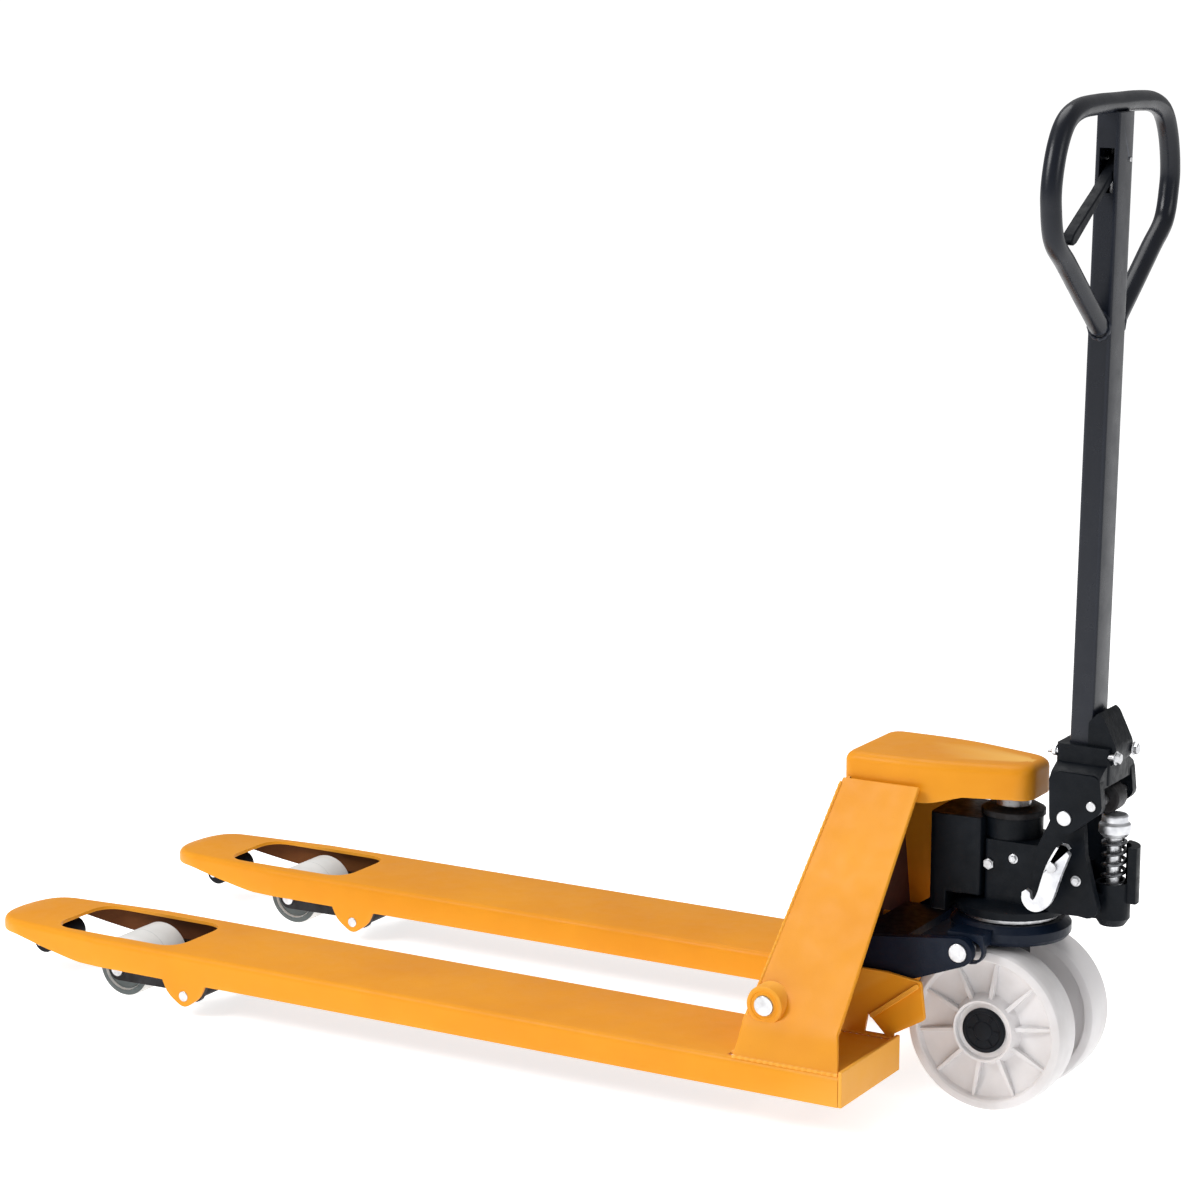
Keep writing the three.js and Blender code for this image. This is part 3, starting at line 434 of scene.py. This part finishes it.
def hex_head(radius, height):
    """A hexagon head with a chamfered face."""
    points = []
    for r, z in ((radius, 0), (radius, height * 0.8), (radius * 0.88, height)):
        points += [(r * math.cos(math.pi / 3 * i), r * math.sin(math.pi / 3 * i), z) for i in range(6)]
    faces = [tuple(reversed(range(6))), tuple(range(12, 18))]
    for base in (0, 6):
        faces += [(base + i, base + (i + 1) % 6, base + 6 + (i + 1) % 6, base + 6 + i) for i in range(6)]
    return points, faces


def washer(outer, inner, thickness):
    return lathe([(inner, 0), (outer - 0.5, 0), (outer, 0.4), (outer, thickness - 0.4),
                  (outer - 0.5, thickness), (inner, thickness)], 32)


# ---------------------------------------------------------------- CAD nodes that stay
def finish_node(node, material, width):
    """Gives a CAD node its material, with its flat faces merged and its edges softened."""
    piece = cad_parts[node]
    mesh = piece.data
    if "custom_normal" in mesh.attributes:
        mesh.attributes.remove(mesh.attributes["custom_normal"])
    mesh.materials.clear()
    mesh.materials.append(material)
    mesh.shade_smooth()
    weld = piece.modifiers.new("weld", "WELD")
    weld.merge_threshold = 0.00002
    flatten = piece.modifiers.new("flatten", "DECIMATE")
    flatten.decimate_type = "DISSOLVE"
    flatten.angle_limit = math.radians(1.0)
    bevel(piece, width, angle=32)


def both(name):
    return [sided(name, -1), sided(name, 1)]


for node in both("heel_end_plate") + both("heel_gusset"):
    finish_node(node, YELLOW, 1.2)
finish_node("front_plate", FRONT_PLATE, 1.2)
for node in ("handle_socket", "pump_body", "oil_reservoir"):
    finish_node(node, CAST, 1.6)
finish_node("handle_tube", BLACK, 0.8)
for node in ("thrust_plate", "rocker_arm"):
    finish_node(node, NAVY, 1.6)
for node in (["ram_cup", "cylinder_cap", "pressure_roller"]
             + both("crank") + both("push_rod") + both("roller_frame")):
    finish_node(node, DARK_STEEL, 0.9)
for node in (["rocker_shaft", "wheel_axle", "pressure_axle", "lever_pin", "thrust_bearing", "ram"]
             + ["pivot_pin"] + both("rocker_pin") + both("frame_pin") + both("roller_axle")
             + both("entry_axle")):
    finish_node(node, BRIGHT, 0.9)
for node in ("pull_rod", "plunger"):
    finish_node(node, ZINC, 0.8)
for node in ("release_pin", "filler_plug"):
    finish_node(node, BRIGHT, 0.6)
for node in both("entry_roller"):
    finish_node(node, PLASTIC, 1.0)

# ---------------------------------------------------------------- forks
FORK_CENTRE, FORK_HALF, FORK_TOP, FORK_REAR = 195.0, 80.0, 85.0, 1287.0
DECK_END, HEEL_SHEET = 1138.0, 1220.0
TAPER_START, TAPER_END, TAPER_HALF = 200.0, 60.0, 67.0
FORK_SHEET, FORK_EDGE = 4.5, 8.0
SKIRT_LOW, NOSE_LOW, RISE_START, RISE_END = 47.0, 66.5, 170.0, 50.0
NOSE_DIP, NOSE_DIP_LENGTH = 4.5, 36
LUG, LUG_ROUND, LUG_FRONT = (342.0, 29.0), 14, 300
FLANK_SINE, FLANK_COSINE, FLANK_START, FLANK_END = 0.5635, 0.826, 7.9, 18.6
SHOULDER_Z, SHOULDER_ROUND, SHOULDER_END = 52, 33, 32.6
SLOT_FRONT, SLOT_REAR, SLOT_HALF, SLOT_CORNER = 108, 312, 58, 34


def fork_top(x):
    return FORK_TOP - NOSE_DIP * (max(0.0, NOSE_DIP_LENGTH - x) / NOSE_DIP_LENGTH) ** 2


def lug_bottom(offset):
    """Height of the lug's lower edge: a small round end, straight flanks, and a wide round shoulder."""
    offset = abs(offset)
    if offset < FLANK_START:
        return LUG[1] - math.sqrt(LUG_ROUND ** 2 - offset ** 2)
    if offset < FLANK_END:
        return LUG[1] + (FLANK_SINE * offset - LUG_ROUND) / FLANK_COSINE
    if offset < SHOULDER_END:
        return SHOULDER_Z - math.sqrt(SHOULDER_ROUND ** 2 - offset ** 2)
    return SKIRT_LOW


def skirt_bottom(x):
    """Height of the skirt's lower edge, which rises towards the nose."""
    if x >= LUG_FRONT:
        return lug_bottom(x - LUG[0])
    t = min(1.0, max(0.0, (RISE_START - x) / (RISE_START - RISE_END)))
    return SKIRT_LOW + (NOSE_LOW - SKIRT_LOW) * t ** 1.25


def fork_outline(inset):
    """One side of the fork's plan, from the heel to the middle of the nose: (x, half width) points."""
    xs = [FORK_REAR, HEEL_SHEET, DECK_END, 1000, 860, 720, 580, 460]
    xs += [400 - 4 * i for i in range(30)] + [270, 250, 230, 212]
    xs += [TAPER_START - 10 * i for i in range(14)]
    points = []
    for x in xs:
        taper = max(0.0, TAPER_START - x) / (TAPER_START - TAPER_END)
        points.append((x, FORK_HALF - (FORK_HALF - TAPER_HALF) * taper - inset))
    steps = 14
    for i in range(steps + 1):
        angle = i / steps * math.pi / 2
        x = TAPER_END - (TAPER_END - inset) * math.sin(angle)
        points.append((x, (TAPER_HALF - inset) * math.cos(angle)))
    return points


def edge_rings(radius, steps):
    """(inset, drop) of the rings up a pressed sheet: its lower edge, its skirt, and its rounded shoulder."""
    rings = [(0.0, None), (0.0, radius)]
    for k in range(1, steps + 1):
        angle = math.pi / 2 * k / steps
        rings.append((radius * (1 - math.cos(angle)), radius * (1 - math.sin(angle))))
    return rings


def fork_piece(side):
    """A fork pressed from sheet: skirts, rounded shoulders and a deck with the load roller's slot."""
    rings = edge_rings(FORK_EDGE, 4)
    outlines = [fork_outline(inset) for inset, _ in rings]
    half_count = len(outlines[0])
    count = 2 * half_count - 1
    points = []
    for (inset, drop), half in zip(rings, outlines):
        loop = half + [(x, -y) for x, y in reversed(half[:-1])]
        for x, y in loop:
            z = skirt_bottom(x) if drop is None else fork_top(x) - drop
            points.append((x, y, z))
    faces = []
    for ring in range(len(rings) - 1):
        for i in range(count - 1):
            a, b = ring * count + i, (ring + 1) * count + i
            faces.append((a, b, b + 1, a + 1))
    # Strip 1 of the deck, from the heel sheet to the deck's end, stays open for the crank.
    top = (len(rings) - 1) * count
    for i in [0] + list(range(2, half_count - 1)):
        left, right = top + i, top + count - 1 - i
        if left + 1 == right - 1:
            faces.append((left, left + 1, right))
        else:
            faces.append((left, left + 1, right - 1, right)[::-1])
    moved = [(x, y + side * FORK_CENTRE, z) for x, y, z in points]
    name = sided("fork_skin", side)
    mesh = make_mesh(name, moved, faces)
    piece = add_piece(name, mesh, YELLOW, "chassis", [sided("fork", side)])
    fix_normals(piece.data, is_sheet=True)
    # The sheet's inner shell takes the painted shade of the channel's inside.
    piece.data.materials.append(PAINTED_SHADE_INSIDE)
    sheet = thicken(piece, FORK_SHEET)
    sheet.material_offset = 1
    slot = rounded([(x, y, SLOT_CORNER) for x, y in ((SLOT_FRONT, -SLOT_HALF), (SLOT_REAR, -SLOT_HALF),
                                                     (SLOT_REAR, SLOT_HALF), (SLOT_FRONT, SLOT_HALF))], 10)
    shape = turned(prism(slot, FORK_TOP - 15, FORK_TOP + 10), Matrix.Translation((0, side * FORK_CENTRE, 0)))
    cutter = bpy.data.objects.new("slot_cutter", make_mesh("slot_cutter", *shape))
    bpy.context.scene.collection.objects.link(cutter)
    hole = piece.modifiers.new("slot", "BOOLEAN")
    hole.operation = "DIFFERENCE"
    hole.object = cutter
    apply_modifiers(piece)
    bpy.data.objects.remove(cutter)
    bevel(piece, 1.1, 2, 40)


for fork_side in (-1, 1):
    fork_piece(fork_side)


# ---------------------------------------------------------------- side plates, bosses and welds
SHAFT = (1170.0, 141.0)
PLATE_FOOT, PLATE_FOLD, PLATE_TOP = (272, 83.5), (235, 121), (78, 389)


def side_plate(side):
    """The folded sheet that joins a fork's outer skirt to the top of the frame."""
    section = rounded([(*PLATE_FOOT, 0), (*PLATE_FOLD, 16), (*PLATE_TOP, 0)], 8)
    points, faces = [], []
    columns = 6
    for y, z in section:
        if z < PLATE_FOLD[1]:
            t = (z - FORK_TOP) / (PLATE_FOLD[1] - FORK_TOP)
            front, rear = 1147 - 5 * t, 1285 - 18 * t
        else:
            t = (z - PLATE_FOLD[1]) / (PLATE_TOP[1] - PLATE_FOLD[1])
            front, rear = 1142 + 51 * t, 1267 + 26 * t
        points += [(front + (rear - front) * i / columns, side * y, z) for i in range(columns + 1)]
    for row in range(len(section) - 1):
        for i in range(columns):
            a, b = row * (columns + 1) + i, (row + 1) * (columns + 1) + i
            face = (a, a + 1, b + 1, b)
            faces.append(face if side < 0 else face[::-1])
    name = sided("side_sheet", side)
    piece = add_piece(name, make_mesh(name, points, faces), YELLOW, "chassis", [sided("side_plate", side)])
    thicken(piece, 6)
    apply_modifiers(piece)
    bevel(piece, 1.4, 3, 40)


def shaft_boss(side):
    """The collar that the rocker shaft turns in."""
    x, z = SHAFT
    collar = lathe([(12.7, 0), (24, 0), (24, 21), (23.2, 23.4), (21.5, 24.4), (18, 24.4), (17, 23.6),
                    (14.6, 23.6), (13.6, 24.2), (12.7, 24.2)], 48)
    name = sided("boss", side)
    shape = turned(collar, to_y(x, side * 211.5, z, side))
    add_piece(name, make_mesh(name, *shape), YELLOW, "chassis", [sided("shaft_boss", side)])


def frame_welds(side):
    """Beads along the foot of the side plate, the gusset and the front plate, and up the plates' seam."""
    foot = line((1147, side * 270.5, 85), (1285, side * 270.5, 85))
    inner = line((1147, side * 119, 86), (1283, side * 119, 86))
    up = line((1146, side * 232, 124), (1192, side * 81, 384))
    # The front plate's bead stops either side of the crank.
    front = [line((1143, side * a, 86.5), (1143, side * b, 86.5)) for a, b in ((262, 218), (159, 118))]
    shape = merge(bead(foot, 2.2), bead(inner, 2.0), bead(up, 2.0), *[bead(path, 2.4) for path in front])
    name = sided("frame_weld", side)
    add_piece(name, make_mesh(name, *shape), YELLOW, "chassis")


for plate_side in (-1, 1):
    side_plate(plate_side)
    shaft_boss(plate_side)
    frame_welds(plate_side)


# ---------------------------------------------------------------- top cover
COVER_BACK, COVER_WAIST, COVER_NOSE = 1188, 1296, 1418
COVER_HALF, COVER_NOSE_HALF, COVER_TOP = 70, 38, 419.0
HEM_LOW, HEM_HIGH, HEM_RISE, HEM_RISEN, HEM_DROP = 366.5, 380.0, 1290, 1360, 3


def cover_outline(inset):
    half, nose_half = COVER_HALF - inset, COVER_NOSE_HALF - inset
    nose, back = COVER_NOSE - inset, COVER_BACK + inset
    return rounded([(back, -half, 16), (COVER_WAIST, -half, 46), (nose, -nose_half, 22),
                    (nose, nose_half, 22), (COVER_WAIST, half, 46), (back, half, 16)], 10)


def cover_bottom(x):
    """Height of the cover's hem, which rises in a smooth step before the ram and dips to the nose."""
    if x < HEM_RISE:
        return HEM_LOW
    if x < HEM_RISEN:
        t = (x - HEM_RISE) / (HEM_RISEN - HEM_RISE)
        return HEM_LOW + (HEM_HIGH - HEM_LOW) * t * t * (3 - 2 * t)
    return HEM_HIGH - HEM_DROP * (x - HEM_RISEN) / (COVER_NOSE - HEM_RISEN)


def top_cover():
    """The pressed steel cover, as one sheet with a rounded shoulder."""
    rings = edge_rings(11.0, 6) + [(16.0, 0.0)]
    points, faces = [], []
    for inset, drop in rings:
        for x, y in cover_outline(inset):
            z = cover_bottom(x) if drop is None else COVER_TOP - drop
            points.append((x, y, z))
    count = len(cover_outline(0))
    for ring in range(len(rings) - 1):
        for i in range(count):
            a, b = ring * count, (ring + 1) * count
            n = (i + 1) % count
            faces.append((a + i, a + n, b + n, b + i))
    faces.append(tuple((len(rings) - 1) * count + i for i in range(count)))
    mesh = make_mesh("cover_shell", points, faces)
    piece = add_piece("cover_shell", mesh, YELLOW, "chassis", ["top_cover"])
    fix_normals(piece.data, is_sheet=True)
    thicken(piece, 5)
    apply_modifiers(piece)
    bevel(piece, 1.2, 2, 45)


top_cover()


# ---------------------------------------------------------------- wheels and rollers
WHEEL_X, WHEEL_FACE_Y, WHEEL_Z, RIBS = 1383, 77, 100, 10
ROLLER_X, ROLLER_Z = 217, 40


def steer_wheel(side):
    """A nylon wheel with a dished, ribbed face, a raised rim and a faint parting line round the tread."""
    profile = [(12, 4), (34, 4), (35, -2), (38, -3), (39, 4), (44, 13), (60, 12.5), (76, 10), (84, 8),
               (86, 1.5), (88, 0), (94, 0), (97.4, 1.4), (99.2, 4.2), (100, 8.5), (100, 24.4),
               (99.6, 25), (100, 25.6),
               (100, 41.5), (99.2, 45.8), (97.4, 48.6), (94, 50), (88, 50), (86, 48.5), (84, 42), (76, 40),
               (60, 37.5), (44, 37), (38, 48), (12, 48)]
    wheel = lathe([(r, -t) for r, t in profile], 96)
    shapes = [wheel]
    for i in range(RIBS):
        rib = prism([(36, -3), (87, -2), (87, 2), (36, 3)], -16, -4.5)
        shapes.append(turned(rib, Matrix.Rotation(2 * math.pi * (i + 0.25) / RIBS, 4, "Z")))
    shape = turned(merge(*shapes), to_y(WHEEL_X, side * WHEEL_FACE_Y, WHEEL_Z, side))
    name = sided("wheel", side)
    piece = add_piece(name, make_mesh(name, *shape, sharp=30), NYLON, sided_body("wheel", side),
                      [sided("steer_wheel", side)])
    fix_normals(piece.data)
    bevel(piece, 0.9, 2, 40)


def hub_cap(side):
    """A round plastic cap with six raised tabs."""
    disc = lathe([(0, -8), (27.5, -8), (27.5, -1.6), (26.5, -0.2), (24.5, 0.8), (22.5, 0.8), (21.6, -0.6),
                  (12, -0.2), (11, 1.0), (9.5, 1.4), (0, 1.5)], 64)
    tabs = [turned(prism([(13, -1.6), (20.5, -1.6), (20.5, 1.6), (13, 1.6)], -1, 0.7),
                   Matrix.Rotation(math.pi / 3 * i, 4, "Z")) for i in range(6)]
    name = sided("cap", side)
    shape = turned(merge(disc, *tabs), to_y(WHEEL_X, side * WHEEL_FACE_Y, WHEEL_Z, side))
    piece = add_piece(name, make_mesh(name, *shape), PLASTIC, sided_body("wheel", side),
                      [sided("hub_cap", side)])
    fix_normals(piece.data)
    bevel(piece, 0.4, 2, 40)


def load_roller(side):
    """A nylon roller, the same at both ends, with recessed end faces and a faint parting line."""
    half = [(9.3, 44), (14, 44), (15, 41), (30, 41), (31.5, 44), (36, 44), (38.8, 43), (40, 40.5), (40, 0.4)]
    profile = [(r, -z) for r, z in half] + [(39.7, 0)] + half[::-1]
    name = sided("roller", side)
    shape = turned(lathe(profile, 72), to_y(ROLLER_X, side * FORK_CENTRE, ROLLER_Z, side))
    piece = add_piece(name, make_mesh(name, *shape, sharp=30), ROLLER, sided_body("load_roller", side),
                      [sided("load_roller", side)])
    fix_normals(piece.data)


for wheel_side in (-1, 1):
    steer_wheel(wheel_side)
    hub_cap(wheel_side)
    load_roller(wheel_side)


# ---------------------------------------------------------------- plunger spring
SPRING_X, SPRING_LOW, SPRING_HIGH = 1512, 266.3, 339.7


def spring_piece():
    """A compression spring whose end turns close up."""
    turns, wire, radius, closed = 6.6, 2.4, 13.3, 0.8
    low, high = SPRING_LOW + wire, SPRING_HIGH - wire
    path = []
    steps = round(turns * 28)
    for i in range(steps + 1):
        turn = turns * i / steps
        open_share = min(1.0, max(0.0, (turn - closed) / (turns - 2 * closed)))
        end_share = (min(turn, closed) - min(turns - turn, closed) + closed) / (2 * closed)
        z = low + (high - low - 2 * wire) * open_share + wire * end_share
        angle = 2 * math.pi * turn
        path.append((SPRING_X + radius * math.cos(angle), radius * math.sin(angle), z))
    mesh = make_mesh("spring_coil", *sweep(path, wire, 12))
    piece = add_piece("spring_coil", mesh, SPRING_STEEL, "pump", ["return_spring"])
    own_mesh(piece)


spring_piece()


# ---------------------------------------------------------------- grip loop and its welds
# The loop, the control lever and the clamp bolts are placed on the handle's own axes, z up from its pin.
TUBE_MIDDLE, GRIP_RADIUS = 3.8, 12


def circle(count):
    return [2 * math.pi * i / count for i in range(count)]


def grip_loop():
    """The bent tube round the top of the handle, with a weld at each end and one at the tube's top."""
    half = [(14, 569), (70, 610), (130, 655), (169, 684), (182, 722), (182, 752), (170, 788), (148, 814),
            (112, 826), (60, 829), (0, 829)]
    corners = [(TUBE_MIDDLE, y, z) for y, z in half] + [(TUBE_MIDDLE, -y, z) for y, z in reversed(half[:-1])]
    path = [p for p in smooth_path(corners, 12) if abs(p[1]) > 20 or p[2] > 700]
    mesh = make_mesh("grip_tube", *sweep(path, GRIP_RADIUS, 32), place=HANDLE)
    add_piece("grip_tube", mesh, BLACK, "handle", ["grip_loop"])
    welds = []
    for side in (-1, 1):
        ring = [(TUBE_MIDDLE + 13 * math.cos(a), side * 23.3, 576.5 + 15.5 * math.sin(a)) for a in circle(40)]
        welds.append(bead(ring, 2.2, closed=True))
    ring = [(TUBE_MIDDLE + 12.5 * math.cos(a), 21.5 * math.sin(a), 818) for a in circle(40)]
    welds.append(bead(ring, 2.0, closed=True))
    mesh = make_mesh("grip_weld", *merge(*welds), place=HANDLE)
    add_piece("grip_weld", mesh, BLACK, "handle")


grip_loop()


# ---------------------------------------------------------------- levers
def control_lever():
    """A pressed strip lever with a rounded tip, hinged inside the tube."""
    start, end = Vector((12, 765)), Vector((-128, 681))
    along = (end - start).normalized()
    across = Vector((-along.y, along.x))
    length = (end - start).length
    outline = [(-5, 5), (0, 7), (30, 5.5), (70, 4.5), (110, 6)]
    outline += [(length - 6, 7), (length + 1, 5), (length + 4, 2)]
    loop = [start + along * t + across * half for t, half in outline]
    loop += [start + along * t - across * half for t, half in reversed(outline)]
    points = [(TUBE_MIDDLE + x, p.x, p.y) for x in (-7, 7) for p in loop]
    count = len(loop)
    faces = [tuple(range(count)), tuple(reversed(range(count, 2 * count)))]
    faces += [(i, count + i, count + (i + 1) % count, (i + 1) % count) for i in range(count)]
    mesh = make_mesh("lever_bar", points, faces, place=HANDLE)
    piece = add_piece("lever_bar", mesh, PLASTIC, "lever", ["control_lever"])
    fix_normals(piece.data)
    bevel(piece, 2.2, 3, 30)


def release_lever():
    """The zinc plated hook lever on the pump's left side, cut from plate along a curved spine."""
    spine = [(1475, 333), (1470, 322), (1464, 308), (1459, 292), (1454, 276), (1447, 265), (1438, 262),
             (1431, 268), (1430, 277)]
    widths = [9, 10, 10.5, 10.5, 10, 8.5, 7, 6, 5]
    path = smooth_path([(x, w, z) for (x, z), w in zip(spine, widths)], 6)
    left, right = [], []
    for i, (x, w, z) in enumerate(path):
        before, after = path[max(i - 1, 0)], path[min(i + 1, len(path) - 1)]
        tangent = Vector((after[0] - before[0], after[2] - before[2])).normalized()
        left.append((x - tangent.y * w, z + tangent.x * w))
        right.append((x + tangent.y * w, z - tangent.x * w))
    first, last = path[0], path[-1]
    top_end = []
    for angle in map(math.radians, (20, 65, 110)):
        top_end.append((first[0] + 8 * math.cos(angle), first[2] + 8 * math.sin(angle)))
    outline = left + [(last[0], last[2] + 3.5)] + list(reversed(right)) + top_end
    points, faces = prism(outline, -4, 4)
    mesh = make_mesh("release_hook", [(x, -66 - y, z) for x, z, y in points], faces)
    piece = add_piece("release_hook", mesh, ZINC, "release", ["release_lever"])
    fix_normals(piece.data)
    bevel(piece, 1.4, 3, 40)


control_lever()
release_lever()


# ---------------------------------------------------------------- bolts, plugs and other small hardware
def hardware(name, shapes, material, body, place=TRUCK, replaces=()):
    """Small fastenings joined into one piece."""
    piece = add_piece(name, make_mesh(name, *merge(*shapes), place=place), material, body, replaces)
    fix_normals(piece.data)
    bevel(piece, 0.35, 2, 30)


def clamp_bolt(side):
    """A long bolt through the handle socket, with its head at one end and a washer and nut at the other."""
    y, z = side * 28.5, 74.0
    shapes = [turned(lathe([(0, -34), (4, -34), (4, 51), (0, 51)], 20), to_x(0, y, z)),
              turned(hex_head(7, 5), to_x(-23.3, y, z, -1)),
              turned(washer(8.4, 4.2, 1.2), to_x(50.2, y, z)),
              turned(hex_head(7, 5.5), to_x(51.2, y, z))]
    hardware(sided("bolt", side), shapes, BRIGHT, "handle", HANDLE,
             [sided("clamp_bolt", side)])


for bolt_side in (-1, 1):
    clamp_bolt(bolt_side)

hardware("pump_screws", [
    turned(merge(hex_head(5, 4), washer(6.5, 3, 1)), to_y(1481, -41.2, 291)),
    turned(merge(hex_head(4.5, 4), washer(6, 3, 1)), to_y(1400, -38.2, 306)),
    turned(merge(hex_head(6, 5), washer(8, 3, 1.2)), to_y(1441, -31, 262)),
], BRIGHT, "pump")

# ---------------------------------------------------------------- floor, lights and camera
FLOOR_HALF = 30
floor_mesh = bpy.data.meshes.new("floor")
floor_corners = [(x * FLOOR_HALF, y * FLOOR_HALF, 0) for x, y in ((-1, -1), (1, -1), (1, 1), (-1, 1))]
floor_mesh.from_pydata(floor_corners, [], [(0, 1, 2, 3)])
floor = bpy.data.objects.new("floor", floor_mesh)
bpy.context.scene.collection.objects.link(floor)
floor_material = new_material("floor_white", (0.86, 0.86, 0.86), 0.9, specular=0.1)
floor_shader = floor_material.node_tree.nodes["Principled BSDF"]
floor_shader.inputs["Emission Color"].default_value = (1, 1, 1, 1)
floor_shader.inputs["Emission Strength"].default_value = 0.75
floor_mesh.materials.append(floor_material)

# The sky that the camera sees is white, and the light it sheds is softer, so that hollows stay dark.
world = bpy.data.worlds.new("studio")
bpy.context.scene.world = world
world.use_nodes = True
sky = world.node_tree.nodes["Background"]
sky.inputs["Color"].default_value = (1, 1, 1, 1)
sky_light = world.node_tree.nodes.new("ShaderNodeLightPath")
sky_strength = world.node_tree.nodes.new("ShaderNodeMapRange")
SKY_SHED, SKY_SEEN = 0.36, 1.1
sky_strength.inputs["To Min"].default_value = SKY_SHED
sky_strength.inputs["To Max"].default_value = SKY_SEEN
world.node_tree.links.new(sky_light.outputs["Is Camera Ray"], sky_strength.inputs["Value"])
world.node_tree.links.new(sky_strength.outputs["Result"], sky.inputs["Strength"])


def area_light(name, position, target, size, power):
    data = bpy.data.lights.new(name, "AREA")
    data.shape = "DISK"
    data.size = size
    data.energy = power
    light = bpy.data.objects.new(name, data)
    light.location = position
    light.rotation_euler = (Vector(target) - Vector(position)).to_track_quat("-Z", "Y").to_euler()
    bpy.context.scene.collection.objects.link(light)


area_light("key", (-1.9, -3.2, 3.4), (0, 0, 0.3), 2.2, 128)
area_light("fill", (3.6, -0.6, 2.2), (0.4, 0, 0.3), 1.4, 14)
area_light("top", (-0.6, 0.8, 4.2), (0, 0, 0.2), 3.0, 70)

camera_data = bpy.data.cameras.new("camera")
camera_data.sensor_width = 36
camera_data.lens = 99.507
CAMERA_DOWN, CAMERA_ROLL, CAMERA_TURN = 11.03, -0.086, 30.05
camera = bpy.data.objects.new("camera", camera_data)
camera.location = (2.11247, -3.58916, 1.36319)
camera.rotation_euler = [math.radians(angle) for angle in (90 - CAMERA_DOWN, CAMERA_ROLL, CAMERA_TURN)]
bpy.context.scene.collection.objects.link(camera)
bpy.context.scene.camera = camera
bpy.context.scene.view_settings.view_transform = "Standard"
